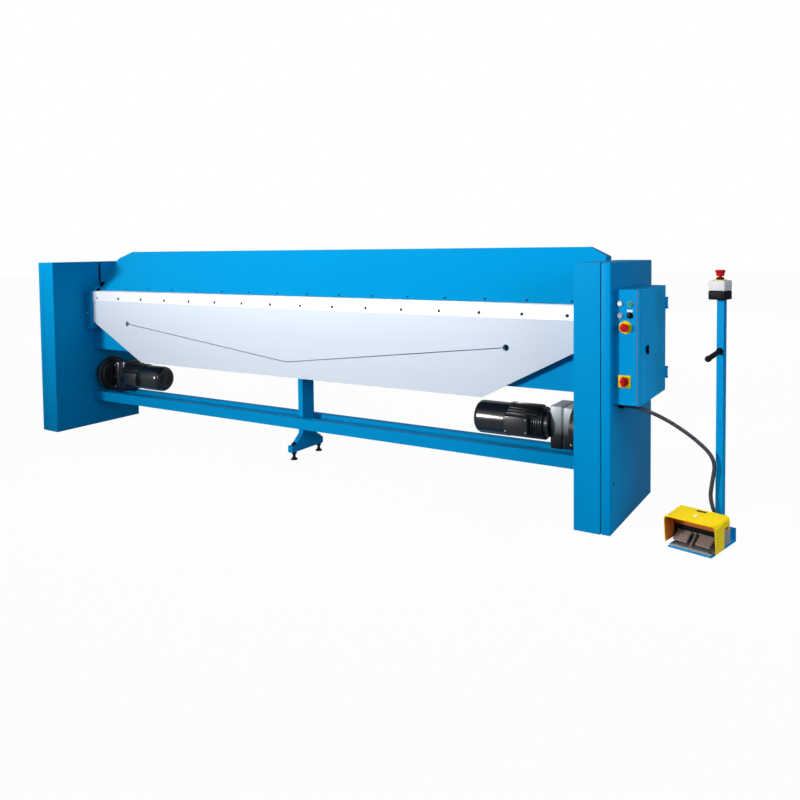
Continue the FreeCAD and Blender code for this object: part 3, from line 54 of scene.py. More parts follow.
MM = 0.001
LEFT, RIGHT = -1, 1
X, Y, Z = Vector((1, 0, 0)), Vector((0, 1, 0)), Vector((0, 0, 1))

# The stand's front left corner on the floor and its turn. Pieces of the stand and the foot
# switch are drawn square to that corner and then moved there.
STAND_TURN = math.radians(-13)
STAND_CORNER = Vector((2.438, -0.363, 0.0))
STAND = Matrix.Translation(STAND_CORNER) @ Matrix.Rotation(STAND_TURN, 4, "Z")

# The cable's route as the CAD has it: the gland's mouth, the end of its straight lead, the level
# direction from there, and corners as (run along that direction, height).
CABLE_EXIT = (2.206, -0.241, 0.592)
CABLE_LEAD_END = (2.222, -0.241, 0.592)
CABLE_WAY = (0.99319, 0.11655)
CABLE_CORNERS = ((0, 0.592), (0.054, 0.592), (0.177, 0.545), (0.302, 0.466), (0.392, 0.378),
                 (0.373, 0.262), (0.366, 0.186), (0.392, 0.118))

# The photograph's camera, found from the machine's own edges.
CAMERA_PLACE = (3.2224, -3.8758, 1.3489)
CAMERA_AZIMUTH, CAMERA_PITCH, CAMERA_ROLL = (math.radians(turn) for turn in (31.896, 2.674, -0.638))
CAMERA_LENS, CAMERA_SENSOR, CAMERA_SHIFT = 34.62, 36, -0.1438

SCREW_COUNT = 16
DRUM_LENGTH = 0.140

# Limits of the finishing: the most of a side that a bevel takes, the angles over which an edge
# stays sharp and counts as a rim, the least roughness, and the roughness of a clear coat.
BEVEL_SHARE = 0.45
SHARP_ANGLE, RIM_ANGLE = math.radians(35), math.radians(60)
LEAST_ROUGHNESS, COAT_ROUGHNESS = 0.02, 0.12

# A Mix node has its first, second and mixed sockets once for each kind of value, under the same
# names. These are the numbers of the ones for colours.
FIRST, SECOND, MIXED = 6, 7, 2

# The material made for each finish, under the finish's key.
MATERIALS = {}


# Sizes and colours that a user would change.

class FolderSizes(bpy.types.PropertyGroup):
    """Sizes of the finishing pieces."""

    plate_round: bpy.props.FloatProperty(
        name="Sheet edge", description="Rounding of folded sheet steel edges",
        default=0.004, unit="LENGTH")
    seam: bpy.props.FloatProperty(
        name="Cover seam", description="Width of the joint between a side frame and its cover",
        default=0.003, unit="LENGTH")
    casting_round: bpy.props.FloatProperty(
        name="Casting edge", description="Rounding of the edges of cast housings",
        default=0.006, unit="LENGTH")
    plastic_round: bpy.props.FloatProperty(
        name="Moulded edge", description="Rounding of the edges of moulded parts",
        default=0.0015, unit="LENGTH")
    rib_count: bpy.props.IntProperty(
        name="Motor ribs", description="Cooling ribs over the top of each motor", default=10,
        min=4, max=30)
    rib_height: bpy.props.FloatProperty(
        name="Rib height", description="How far the cooling ribs reach into the motor's crest",
        default=0.014, unit="LENGTH")
    rib_thick: bpy.props.FloatProperty(
        name="Rib thickness", description="Thickness of one cooling rib",
        default=0.008, unit="LENGTH")
    cable_diameter: bpy.props.FloatProperty(
        name="Cable", description="Diameter of the cable to the foot switch",
        default=0.018, unit="LENGTH")


class FolderColours(bpy.types.PropertyGroup):
    """Paint and plastic colours, as sRGB hex."""

    frame_blue: bpy.props.StringProperty(
        name="Frame paint", description="Blue enamel of the machine", default="#0092CE")
    hood_yellow: bpy.props.StringProperty(
        name="Hood paint", description="Yellow coat of the pedal hood", default="#FFDC00")
    stop_red: bpy.props.StringProperty(
        name="Stop red", description="Red plastic of the stop buttons", default="#C4141B")
    drive_black: bpy.props.StringProperty(
        name="Drive paint", description="Black enamel of the gear motors", default="#17191D")


# Materials.

def linear(code):
    """An sRGB hex colour as the linear values that a shader socket takes."""
    values = [int(code[index:index + 2], 16) / 255 for index in (1, 3, 5)]
    return [v / 12.92 if v <= 0.04045 else ((v + 0.055) / 1.055) ** 2.4 for v in values] + [1.0]


def add(tree, kind, settings=None, numbered=None, **named):
    """Adds a node, sets its properties, and fills or links its inputs by number or by name."""
    node = tree.nodes.new(kind)
    for key, value in (settings or {}).items():
        setattr(node, key, value)
    inputs = {key.replace("_", " "): value for key, value in named.items()}
    for key, value in {**inputs, **(numbered or {})}.items():
        socket = node.inputs[key]
        if isinstance(value, bpy.types.NodeSocket):
            tree.links.new(value, socket)
        else:
            socket.default_value = value
    return node


def empty_tree(owner):
    """The node tree of a new material or world, without its first nodes."""
    owner.use_nodes = True
    owner.node_tree.nodes.clear()
    return owner.node_tree


def finish(key, name, colour, worn, patch=0.3, roughness=0.4, spread=0.08, metallic=0.0,
           grain=2.0, relief=0.0, stretch=(1, 1, 1), coat=0.0, gloss=0.5, fade=None):
    """Makes a surface of two close colours in soft patches, with a grain that is felt and seen.

    patch is the width of a patch in metres, grain the width of one grain in millimetres. fade is
    an (axis, place, place, colour): the surface has that colour at the first place on the axis
    and its own colour from the second place on.
    """
    material = bpy.data.materials.new(name)
    tree = empty_tree(material)
    place = add(tree, "ShaderNodeTexCoord").outputs["Object"]
    drawn = add(tree, "ShaderNodeMapping", Vector=place, Scale=stretch).outputs["Vector"]
    patches = add(tree, "ShaderNodeTexNoise", Vector=drawn, Scale=1 / patch, Detail=3.0)
    grains = add(tree, "ShaderNodeTexNoise", Vector=drawn, Scale=1 / (grain * MM), Detail=2.0)
    tones = {FIRST: linear(colour), SECOND: linear(worn)}
    base = add(tree, "ShaderNodeMix", {"data_type": "RGBA"}, tones,
               Factor=patches.outputs["Fac"]).outputs[MIXED]
    if fade:
        axis, start, end, other = fade
        spot = add(tree, "ShaderNodeSeparateXYZ", Vector=place)
        share = add(tree, "ShaderNodeMapRange", Value=spot.outputs[axis], From_Min=start,
                    From_Max=end)
        base = add(tree, "ShaderNodeMix", {"data_type": "RGBA"},
                   {FIRST: linear(other), SECOND: base},
                   Factor=share.outputs["Result"]).outputs[MIXED]
    shine = add(tree, "ShaderNodeMapRange", Value=grains.outputs["Fac"],
                To_Min=max(roughness - spread, LEAST_ROUGHNESS), To_Max=roughness + spread)
    bump = add(tree, "ShaderNodeBump", Height=grains.outputs["Fac"], Distance=relief * MM,
               Strength=1.0 if relief else 0.0)
    shader = add(tree, "ShaderNodeBsdfPrincipled", Base_Color=base,
                 Roughness=shine.outputs["Result"], Metallic=metallic,
                 Specular_IOR_Level=gloss, Normal=bump.outputs["Normal"], Coat_Weight=coat,
                 Coat_Roughness=COAT_ROUGHNESS)
    add(tree, "ShaderNodeOutputMaterial", Surface=shader.outputs["BSDF"])
    MATERIALS[key] = material


def make_materials(colours):
    """One material for each finish on the machine, a few of them with painted light or painted
    shade.
    """
    # Sprayed enamel over sheet steel: even colour, a faint orange peel, and a shine kept low
    # because the white sheet under the machine would veil the blue.
    finish("enamel", "sprayed_blue_enamel", colours.frame_blue, "#008CC6", patch=0.6,
           roughness=0.38, spread=0.05, grain=6.0, relief=0.05, gloss=0.02)
    # The cabinet is bought ready coated: the same blue in a smoother powder coat. The door is
    # painted paler as painted light on its side face, and deeper in tone on its folded front edge,
    # where that painted light is taken off.
    door_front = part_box("cabinet_door")[0].y
    finish("door_painted_light", "blue_powder_coat_painted_light", "#00B6F4", "#00AEEC", patch=0.5,
           roughness=0.42, spread=0.04, grain=3.0, relief=0.03, gloss=0.02,
           fade=("Y", door_front + 0.002, door_front + 0.012, "#007FB4"))
    # Ground steel plate: pale, with fine lines along the beam from the grinding wheel.
    finish("ground_steel", "ground_steel_plate", "#CCD4DC", "#C0C9D4", patch=0.35,
           roughness=0.55, spread=0.1, metallic=0.05, gloss=0.2, grain=1.5, relief=0.02,
           stretch=(0.04, 1, 1))
    # Machined steel rail: brighter and smoother than the plate under it.
    finish("machined_steel", "machined_steel_rail", "#F4F5F6", "#E8EAEC", patch=0.25,
           roughness=0.35, spread=0.08, metallic=0.3, grain=1.0, relief=0.01,
           stretch=(0.03, 1, 1))
    # Blackened steel screws: dark oxide with a dull shine.
    finish("black_oxide", "black_oxide_steel", "#2A2C2F", "#1E2022", patch=0.02,
           roughness=0.45, metallic=0.8, grain=0.5, relief=0.02)
    # Rolled steel of chains, sprockets and slides: grey, wet with oil.
    finish("oiled_steel", "oiled_rolled_steel", "#6B6F74", "#54585D", patch=0.08,
           roughness=0.35, metallic=0.9, grain=1.0, relief=0.03)
    # Black enamel over cast iron housings: near black, semi-gloss, with the casting's skin.
    finish("cast_black", "black_enamel_on_cast_iron", colours.drive_black, "#0E1013",
           patch=0.15, roughness=0.33, spread=0.06, grain=3.0, relief=0.08, coat=0.6)
    # The right cast gear case: the motors' black enamel painted pale grey as a painted highlight,
    # paler than the motors, and darker towards the bottom where the painted highlight fades.
    finish("case_painted_highlight", "black_enamel_painted_highlight", "#E4E8EE", "#D4D9E0", patch=0.12,
           roughness=0.38, spread=0.06, grain=3.0, relief=0.08, coat=0.2,
           fade=("Z", 0.34, 0.53, "#121316"))
    # Pressed steel cowl: black enamel without the casting's skin, with a clear shine.
    finish("pressed_black", "black_enamel_on_pressed_steel", "#1A1C20", "#121417", patch=0.2,
           roughness=0.26, spread=0.04, grain=4.0, relief=0.02, coat=1.0)
    # Powder coat: thick yellow paint with a fine even texture.
    finish("powder_yellow", "yellow_powder_coat", colours.hood_yellow, "#FAD400", patch=0.12,
           roughness=0.4, spread=0.05, grain=1.2, relief=0.05, gloss=0.15)
    # The same coat inside the hood, darker orange as painted shade.
    finish("hood_inside", "yellow_powder_coat_painted_shade", "#E07414", "#C96410", patch=0.06,
           roughness=0.6, spread=0.05, grain=1.2, relief=0.05)
    # Die-cast aluminium, shot-blasted: mid grey and matt.
    finish("cast_grey", "shot_blasted_aluminium_casting", "#ABABA8", "#959592", patch=0.05,
           roughness=0.6, metallic=0.35, grain=1.2, relief=0.12)
    # Pedal tread: cast aluminium with a rough anti-slip face, darkened by shoes.
    finish("tread", "anti_slip_pedal_casting", "#C9BBB2", "#A99C94", patch=0.02,
           roughness=0.7, metallic=0.2, grain=2.4, relief=0.6)
    # Zinc plate on thin steel: bluish grey with a weak crystal pattern.
    finish("zinc", "zinc_plated_steel", "#B9BEC4", "#A6ACB3", patch=0.04, roughness=0.38,
           metallic=0.85, grain=3.0, relief=0.01)
    # Moulded plastics of switch gear: even colour, fine spark-eroded texture.
    for key, colour, worn, rough in (
            ("black_plastic", "#0D0D0F", "#131315", 0.5),
            ("pale_plastic", "#DEDBDA", "#D3D0CF", 0.45),
            ("white_plastic", "#ECECEC", "#E2E2E2", 0.32),
            ("green_plastic", "#0E9C7C", "#0C8D70", 0.4),
            ("grey_plastic", "#A9AFB4", "#9DA3A8", 0.32),
            ("red_plastic", colours.stop_red, "#B01218", 0.3),
            ("yellow_plastic", "#F4CB12", "#EBC00E", 0.4)):
        finish(key, "moulded_" + key, colour, worn, patch=0.02, roughness=rough, spread=0.03,
               grain=0.8, relief=0.02, gloss=0.08)
    # Satin chrome over moulded bezels: pale, with a soft mirror.
    finish("bezel", "satin_chrome_on_plastic", "#9DB0C2", "#91A4B6", patch=0.02,
           roughness=0.3, metallic=0.4, grain=0.8, relief=0.01)
    # Foamed sealing rubber between cabinet and door: matt and dull red.
    finish("seal", "foamed_sealing_rubber", "#B4666A", "#94484C", patch=0.05, roughness=0.8,
           grain=1.0, relief=0.1, gloss=0.1)
    # Extruded black rubber of the wipers: matt, no shine. The same matt black stands as painted
    # shade at the frame's holes, on the switch housing's nose and in the hood's notch.
    finish("rubber", "black_rubber_and_painted_shade", "#0B0C0E", "#121315", patch=0.05, roughness=0.8,
           grain=1.0, relief=0.05, gloss=0.2)
    # Extruded vinyl over the conduit: dark grey with a dull shine along its length.
    finish("conduit", "extruded_vinyl_conduit", "#3A3A3D", "#2E2E31", patch=0.05,
           roughness=0.5, grain=1.5, relief=0.05)


# Modelling helpers.

def sizes():
    return bpy.context.scene.folder_sizes


def middle(node):
    """The middle of a CAD node's box."""
    low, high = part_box(node)
    return (Vector(low) + Vector(high)) / 2


def round_edges(bm, edges, offset, segments=2):
    return bmesh.ops.bevel(bm, geom=edges, offset=offset, segments=segments, profile=0.5,
                           affect="EDGES", material=-1)


def block(bm, low, high, edge=0.0, segments=2):
    """A box between two corners, with its edges rounded."""
    low, high = Vector(low), Vector(high)
    size = high - low
    made = bmesh.ops.create_cube(bm, size=1.0)["verts"]
    bmesh.ops.scale(bm, vec=size, verts=made)
    bmesh.ops.translate(bm, vec=(low + high) / 2, verts=made)
    if edge > 0:
        edges = list({one for vert in made for one in vert.link_edges})
        round_edges(bm, edges, min(edge, min(size) * BEVEL_SHARE), segments)


def pillar(bm, low, high, upright_edge, edge):
    """A block whose four upright edges are rounded more than the others."""
    fresh = bmesh.new()
    block(fresh, low, high)
    upright = [one for one in fresh.edges
               if abs(one.verts[0].co.z - one.verts[1].co.z) > (high[2] - low[2]) / 2]
    round_edges(fresh, upright, upright_edge, 5)
    rims = [one for one in fresh.edges
            if len(one.link_faces) == 2 and one.calc_face_angle() > RIM_ANGLE]
    round_edges(fresh, rims, edge)
    merge(bm, fresh)


def merge(bm, fresh):
    """Moves a finished shape into a piece's mesh."""
    spare = bpy.data.meshes.new("spare")
    fresh.to_mesh(spare)
    fresh.free()
    bm.from_mesh(spare)
    bpy.data.meshes.remove(spare)


def connected(verts):
    """Every vertex joined to these by edges."""
    found = {vert for vert in verts if vert.is_valid}
    queue = list(found)
    while queue:
        for edge in queue.pop().link_edges:
            for vert in edge.verts:
                if vert not in found:
                    found.add(vert)
                    queue.append(vert)
    return list(found)


def stand_on(bm, verts, start, axis):
    """Turns a shape that was made up the Z axis onto another axis, and moves its foot there."""
    turn = Z.rotation_difference(Vector(axis).normalized()).to_matrix()
    bmesh.ops.rotate(bm, cent=(0, 0, 0), matrix=turn, verts=verts)
    bmesh.ops.translate(bm, vec=Vector(start), verts=verts)


def disc(bm, start, axis, radius, length, edge=0.0, sides=32):
    """A cylinder from a point along an axis, with its rims rounded."""
    made = bmesh.ops.create_cone(bm, cap_ends=True, segments=sides, radius1=radius,
                                 radius2=radius, depth=length)["verts"]
    if edge > 0:
        rims = [one for one in {e for vert in made for e in vert.link_edges}
                if abs(one.verts[0].co.z - one.verts[1].co.z) < length * 0.1]
        new = round_edges(bm, rims, edge)
        made = list({vert for face in new["faces"] for vert in face.verts} | {
            vert for vert in made if vert.is_valid})
    made = connected(made)
    bmesh.ops.translate(bm, vec=Z * length / 2, verts=made)
    stand_on(bm, made, start, axis)


def lathe(bm, profile, start, axis, steps=48):
    """Turns an outline of (radius, height) pairs round an axis."""
    verts = [bm.verts.new((radius, 0, height)) for radius, height in profile]
    edges = [bm.edges.new(pair) for pair in zip(verts, verts[1:])]
    made = bmesh.ops.spin(bm, geom=verts + edges, cent=(0, 0, 0), axis=Z,
                          angle=math.tau, steps=steps, use_merge=True)
    every = connected(verts + [one for one in made["geom_last"]
                               if isinstance(one, bmesh.types.BMVert)])
    bmesh.ops.remove_doubles(bm, verts=every, dist=0.02 * MM)
    every = connected([vert for vert in every if vert.is_valid])
    stand_on(bm, every, start, axis)


def sheet(bm, outline, start, end):
    """Extrudes an outline of (y, z) pairs along X."""
    face = bm.faces.new([bm.verts.new((start, back, height)) for back, height in outline])
    made = bmesh.ops.extrude_face_region(bm, geom=[face])["geom"]
    far = [one for one in made if isinstance(one, bmesh.types.BMVert)]
    bmesh.ops.translate(bm, vec=X * (end - start), verts=far)


def piece(name, bm, material, body="machine", replaces=None, move=None):
    """Closes a bmesh into a named object that rides on a CAD body.

    With replaces it hides that CAD node and takes its place. It wears the material of its finish.
    """
    if move is not None:
        bmesh.ops.transform(bm, matrix=move, verts=bm.verts)
    bmesh.ops.recalc_face_normals(bm, faces=bm.faces)
    mesh = bpy.data.meshes.new(name)
    bm.to_mesh(mesh)
    bm.free()
    mesh.shade_smooth()
    mesh.set_sharp_from_angle(angle=SHARP_ANGLE)
    item = bpy.data.objects.new(name, mesh)
    bpy.context.scene.collection.objects.link(item)
    mesh.materials.append(MATERIALS[material])
    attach(item, body)
    if replaces:
        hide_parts(replaces)


def turned(name, profile, start, axis, steps, material, body="machine", replaces=None, move=None):
    """A piece that is one turned shape."""
    bm = bmesh.new()
    lathe(bm, profile, start, axis, steps)
    piece(name, bm, material, body, replaces, move=move)


def boxed(name, low, high, edge, segments, material, body="machine", replaces=None, move=None):
    """A piece that is one block."""
    bm = bmesh.new()
    block(bm, low, high, edge, segments)
    piece(name, bm, material, body, replaces, move=move)


def screw_row(name, body, node, seat, out, profile):
    """The evenly spaced screws of a CAD node along X, on the line through seat.

    out is the way that the heads face, and the profile's second point is the head's rim.
    """
    low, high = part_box(node)
    radius = profile[1][0]
    first, last = low.x + radius, high.x - radius
    bm = bmesh.new()
    for index in range(SCREW_COUNT):
        across = first + (last - first) * index / (SCREW_COUNT - 1)
        lathe(bm, profile, Vector((across, seat.y, seat.z)), out, 18)
    piece(name, bm, "black_oxide", body, node)


def paint(material, *nodes):
    """Gives CAD nodes that are shown as they are the material of their finish."""
    for name in nodes:
        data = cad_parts[name].data
        data.materials.clear()
        data.materials.append(MATERIALS[material])


# Operators.

class BuildFrames(bpy.types.Operator):
    """Side frames with their outer covers, bed beam, crossbars and centre post."""

    bl_idname = "folder.build_frames"
    bl_label = "Frames and bed"

    def execute(self, context):
        paint("enamel", "left_frame", "right_frame", "bed_beam", "crossbars", "centre_post")
        paint("ground_steel", "bed_blade")
        self.build_cover("left_outer_cover", LEFT)
        self.build_cover("right_outer_cover", RIGHT)
        self.build_bolts()
        self.build_hole_shade()
        return {"FINISHED"}

    def build_cover(self, name, side):
        """A side cover's outer skin, and the dark joint between it and the frame."""
        low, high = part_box(name)
        inner, outer = (high.x, low.x) if side == LEFT else (low.x, high.x)
        seam, edge = sizes().seam, sizes().plate_round * 1.6
        start, end = sorted((inner + seam * side, outer))
        boxed(name + "_skin", (start, low.y, low.z), (end, high.y, high.z), edge, 3, "enamel",
              replaces=name)
        inset = seam * 2
        start, end = sorted((inner, inner + inset * side))
        boxed(name + "_joint", (start, low.y + inset, low.z + inset),
              (end, high.y - inset, high.z - inset), 0, 0, "black_plastic")

    def build_hole_shade(self):
        """Small black discs in the left frame's inner side and a black square in the right cover's
        outer side, as painted shade of holes and a slot there.
        """
        sunk, radius, thick, half = 0.001, 0.0055, 0.0014, 0.007
        bm = bmesh.new()
        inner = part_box("left_frame")[1].x
        for back, height in ((-0.334, 0.437), (-0.332, 0.237)):
            disc(bm, (inner - sunk, back, height), X, radius, thick, 0.0003, 20)
        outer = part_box("right_outer_cover")[1].x
        back, height = -0.3275, 0.237
        block(bm, (outer - sunk, back - half, height - half),
              (outer - sunk + thick, back + half, height + half))
        # These black pieces are painted shade of holes and a slot.
        piece("frame_holes_painted_shade", bm, "rubber")

    def build_bolts(self):
        """Levelling bolts under the centre post: pad, nuts, threaded stem."""
        low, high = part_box("levelling_bolts")
        pad, stem, thread, nut = 0.022, 0.0095, 0.0102, 0.0175
        pad_height, pitch, thread_turns = 0.014, 0.003, 7
        bm = bmesh.new()
        for y in (low.y + pad, high.y - pad):
            foot = Vector(((low.x + high.x) / 2, y, 0))
            lathe(bm, [(0, 0), (pad, 0), (pad, 0.006), (0.012, pad_height), (0, pad_height)],
                  foot, Z)
            joint = pad_height - 0.0002
            disc(bm, foot + Z * joint, Z, stem, high.z - joint, 0.001, 24)
            disc(bm, foot + Z * 0.038, Z, nut, 0.0138, 0.001, 6)
            disc(bm, foot + Z * (high.z - 0.0165), Z, nut - 0.001, 0.012, 0.001, 6)
            for turn in range(thread_turns):
                disc(bm, foot + Z * (0.017 + turn * pitch), Z, thread, 0.0013, 0.0, 24)
        piece("levelling_bolt_set", bm, "black_oxide", replaces="levelling_bolts")


class BuildFoldingBeam(bpy.types.Operator):
    """Folding beam: slit plate, screwed rail, edge bar, end arms and shafts."""

    bl_idname = "folder.build_folding_beam"
    bl_label = "Folding beam"

    def execute(self, context):
        paint("ground_steel", "fold_plate")
        paint("machined_steel", "fold_rail", "fold_edge_bar")
        paint("black_oxide", "pivot_shafts")
        paint("enamel", "left_fold_arm", "right_fold_arm")
        paint("oiled_steel", "fold_sprockets")
        low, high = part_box("rail_screws")
        radius, head, socket, socket_floor = (high.z - low.z) / 2, 0.006, 0.0043, 0.002
        seat = Vector((0, high.y, (low.z + high.z) / 2))
        screw_row("rail_screw_heads", "fold_beam", "rail_screws", seat, -Y,
                  [(0, 0), (radius, 0), (radius, head - 0.0008), (radius - 0.0008, head),
                   (socket, head), (socket, socket_floor), (0, socket_floor)])
        self.build_nipples()
        return {"FINISHED"}

    def build_nipples(self):
        """A grease nipple in the front of each end arm."""
        height = 0.885
        bm = bmesh.new()
        for name in ("left_fold_arm", "right_fold_arm"):
            start = Vector((middle(name).x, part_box(name)[0].y, height))
            lathe(bm, [(0, -0.001), (0.006, -0.001), (0.006, 0.004), (0.003, 0.005),
                       (0.003, 0.009), (0.0042, 0.011), (0.003, 0.0135), (0, 0.014)],
                  start, -Y, 20)
        piece("arm_grease_nipples", bm, "zinc", "fold_beam")


class BuildClampBeam(bpy.types.Operator):
    """Clamping beam with its blade and screws, and the slides that lift it."""

    bl_idname = "folder.build_clamp_beam"
    bl_label = "Clamping beam"

    def execute(self, context):
        paint("enamel", "clamp_beam", "clamp_blade", "slide_blocks")
        paint("oiled_steel", "lift_rods")
        paint("cast_black", "lift_barrels")
        self.build_wipers()
        radius, head, slope = 0.007, 0.0018, math.radians(45.5)
        out = Vector((0, -math.sin(slope), math.cos(slope)))
        screw_row("blade_screw_heads", "clamp_assembly", "blade_screws",
                  middle("blade_screws") - out * head / 2, out,
                  [(0, 0), (radius, 0), (radius, head - 0.001), (radius - 0.001, head),
                   (0.0032, head), (0.0028, 0.0006), (0, 0.0006)])
        return {"FINISHED"}

    def build_wipers(self):
        """Black strips that close the gap in front of the slide covers."""
        low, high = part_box("slide_blocks")
        frame_side, beam_side, reach = 2.0010, 1.9895, 0.006
        bm = bmesh.new()
        for side in (LEFT, RIGHT):
            start, end = sorted((side * beam_side, side * frame_side))
            block(bm, (start, low.y - reach, low.z), (end, low.y - 0.0002, high.z - 0.002),
                  sizes().plastic_round)
        piece("slide_wipers", bm, "rubber", "clamp_assembly")


class BuildDrives(bpy.types.Operator):
    """Gear motors on both sides, and the chain drives inside the frames."""

    bl_idname = "folder.build_drives"
    bl_label = "Fold drives"

    def execute(self, context):
        paint("oiled_steel", "left_drive_sprocket", "right_drive_sprocket", "drive_chains")
        paint("enamel", "pivot_bearings")
        axis = middle("fan_cowls")
        wall, face, cowl_start, lid_end = (
            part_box(node)[1].x for node in ("gearcases", "motors", "fan_cowls", "terminal_boxes"))
        drums, motors, cowls, lids, bolts = (bmesh.new() for _ in range(5))
        # The left case has the plain black enamel; the right case has the same black with a painted
        # highlight.
        for side, name, colour in ((LEFT, "left_gear_case", "cast_black"),
                                   (RIGHT, "right_gear_case", "case_painted_highlight")):
            inward = -X * side
            at_wall, at_face, at_cowl = (
                Vector((place * side, axis.y, axis.z)) for place in (wall, face, cowl_start))
            self.build_drum(drums, bolts, at_wall, inward)
            self.build_case(name, colour, bolts, at_wall + inward * DRUM_LENGTH, inward)
            self.build_motor(motors, at_face, inward)
            self.build_cowl(cowls, at_cowl, inward)
            self.build_lid(lids, bolts, side, lid_end)
        piece("gear_drums", drums, "cast_black", replaces="gearcases")
        piece("finned_motors", motors, "cast_black", replaces="motors")
        piece("motor_cowls", cowls, "pressed_black", replaces="fan_cowls")
        piece("motor_terminal_boxes", lids, "cast_black", replaces="terminal_boxes")
        piece("drive_bolts", bolts, "zinc")
        return {"FINISHED"}

    def build_drum(self, bm, bolts, wall, inward):
        """Necked drum with a bolted flange, at the frame."""
        neck, flange, body = 0.078, 0.134, 0.110
        flange_start, flange_end = 0.088, 0.120
        lathe(bm, [(0, 0), (neck, 0), (neck, flange_start - 0.012),
                   (neck + 0.009, flange_start - 0.001), (flange - 0.004, flange_start),
                   (flange, flange_start + 0.003), (flange, flange_end - 0.003),
                   (flange - 0.003, flange_end), (body + 0.002, flange_end),
                   (body, flange_end + 0.002), (body, DRUM_LENGTH - 0.002),
                   (body - 0.002, DRUM_LENGTH), (0, DRUM_LENGTH)], wall, inward, 72)
        bolt_count, bolt_circle, bolt_radius, bolt_head = 24, 0.124, 0.0065, 0.006
        for index in range(bolt_count):
            angle = math.tau * (index + 0.5) / bolt_count
            around = Y * math.cos(angle) + Z * math.sin(angle)
            disc(bolts, wall + inward * (flange_start + 0.0005) + around * bolt_circle, -inward,
                 bolt_radius, bolt_head, 0.0008, 6)

    def build_case(self, name, colour, bolts, face, inward):
        """Gear case in two halves with a seam, bolted from the front."""
        front, back, bottom, top = -0.026, 0.170, -0.127, 0.102
        low, high = face + Y * front + Z * bottom, face + Y * back + Z * top
        split, half_gap, depth, inset = 0.05925, 0.00075, 0.133, 0.004
        bm = bmesh.new()
        for near, far, less in ((0.0, split - half_gap, inset), (split + half_gap, depth, 0.0)):
            start, end = sorted((face.x + inward.x * near, face.x + inward.x * far))
            pillar(bm, (start, low.y + less, low.z + less), (end, high.y - less, high.z - less),
                   0.014, sizes().casting_round * 0.6)
        start, end = sorted((face.x + inward.x * 0.050, face.x + inward.x * 0.070))
        block(bm, (start, low.y + inset * 2, low.z + inset * 2),
              (end, high.y - inset * 2, high.z - inset * 2))
        piece(name, bm, colour)
        for height in (low.z + 0.030, face.z - 0.02, high.z - 0.030):
            disc(bolts, (face.x + inward.x * 0.014, low.y + inset + 0.001, height), -Y, 0.0070,
                 0.0055, 0.0006, 6)

    def build_motor(self, bm, face, inward):
        """Motor body with cooling rings beside the gear case, under a crest of ribs."""
        length, radius, neck, pitch, rings, groove = 0.235, 0.090, 0.026, 0.013, 7, 0.009
        outline = [(0, 0), (0.072, 0), (0.072, neck)]
        for index in range(rings):
            start = neck + pitch * index
            outline += [(radius - 0.0008, start), (radius, start + 0.001),
                        (radius, start + 0.005), (radius - 0.0008, start + 0.006),
                        (radius - groove, start + 0.0064), (radius - groove, start + 0.0126)]
        outline += [(radius, neck + pitch * rings), (radius, length), (0, length)]
        lathe(bm, outline, face, inward, 72)
        # The ribs are made up the Z axis, with the crest on +Y, and then stood on the wall.
        stand = Matrix.Translation(face) @ Matrix(
            (Z.cross(inward), Z, inward)).transposed().to_4x4()
        count, thick, crest = sizes().rib_count, sizes().rib_thick, 0.100
        fan, near, far = math.radians(108), 0.050, 0.227
        for index in range(count):
            turn = Matrix.Rotation(fan * (index / (count - 1) - 0.5), 4, "Z")
            fresh = bmesh.new()
            block(fresh, (-thick / 2, crest - sizes().rib_height, near),
                  (thick / 2, crest, far), 0.0011)
            bmesh.ops.transform(fresh, verts=fresh.verts, matrix=stand @ turn)
            merge(bm, fresh)

    def build_cowl(self, bm, start, inward):
        """Pressed fan cowl with a rounded end and a grille of ring slots."""
        length, radius, rounding, arcs, deep = 0.198, 0.092, 0.030, 6, 0.004
        outline = [(0, 0), (radius, 0), (radius, length - rounding)]
        for index in range(1, arcs + 1):
            angle = math.radians(90 * index / arcs)
            outline.append((radius - rounding + rounding * math.cos(angle),
                            length - rounding + rounding * math.sin(angle)))
        for ring in (0.052, 0.041, 0.030, 0.019):
            outline += [(ring + 0.003, length), (ring + 0.002, length - deep),
                        (ring - 0.002, length - deep), (ring - 0.003, length)]
        outline.append((0, length))
        lathe(bm, outline, start, inward, 64)

    def build_lid(self, bm, bolts, side, lid_end):
        """Terminal box on the front of the motor: body, lid, the neck between, and screws."""
        length, edge, inset, corner = 0.141, 0.004, 0.006, 0.012
        low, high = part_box("terminal_boxes")
        near, far = sorted((lid_end * side, (lid_end - length) * side))
        block(bm, (near, low.y + 0.0135, low.z), (far, low.y + 0.045, high.z), edge, 3)
        block(bm, (near, low.y, low.z), (far, low.y + 0.0120, high.z), edge, 3)
        block(bm, (near + inset, low.y + inset, low.z + inset),
              (far - inset, low.y + 0.020, high.z - inset))
        for across in (near + corner, far - corner):
            for height in (low.z + corner, high.z - corner):
                disc(bolts, Vector((across, low.y + 0.001, height)), -Y, 0.004, 0.001, 0.0, 12)


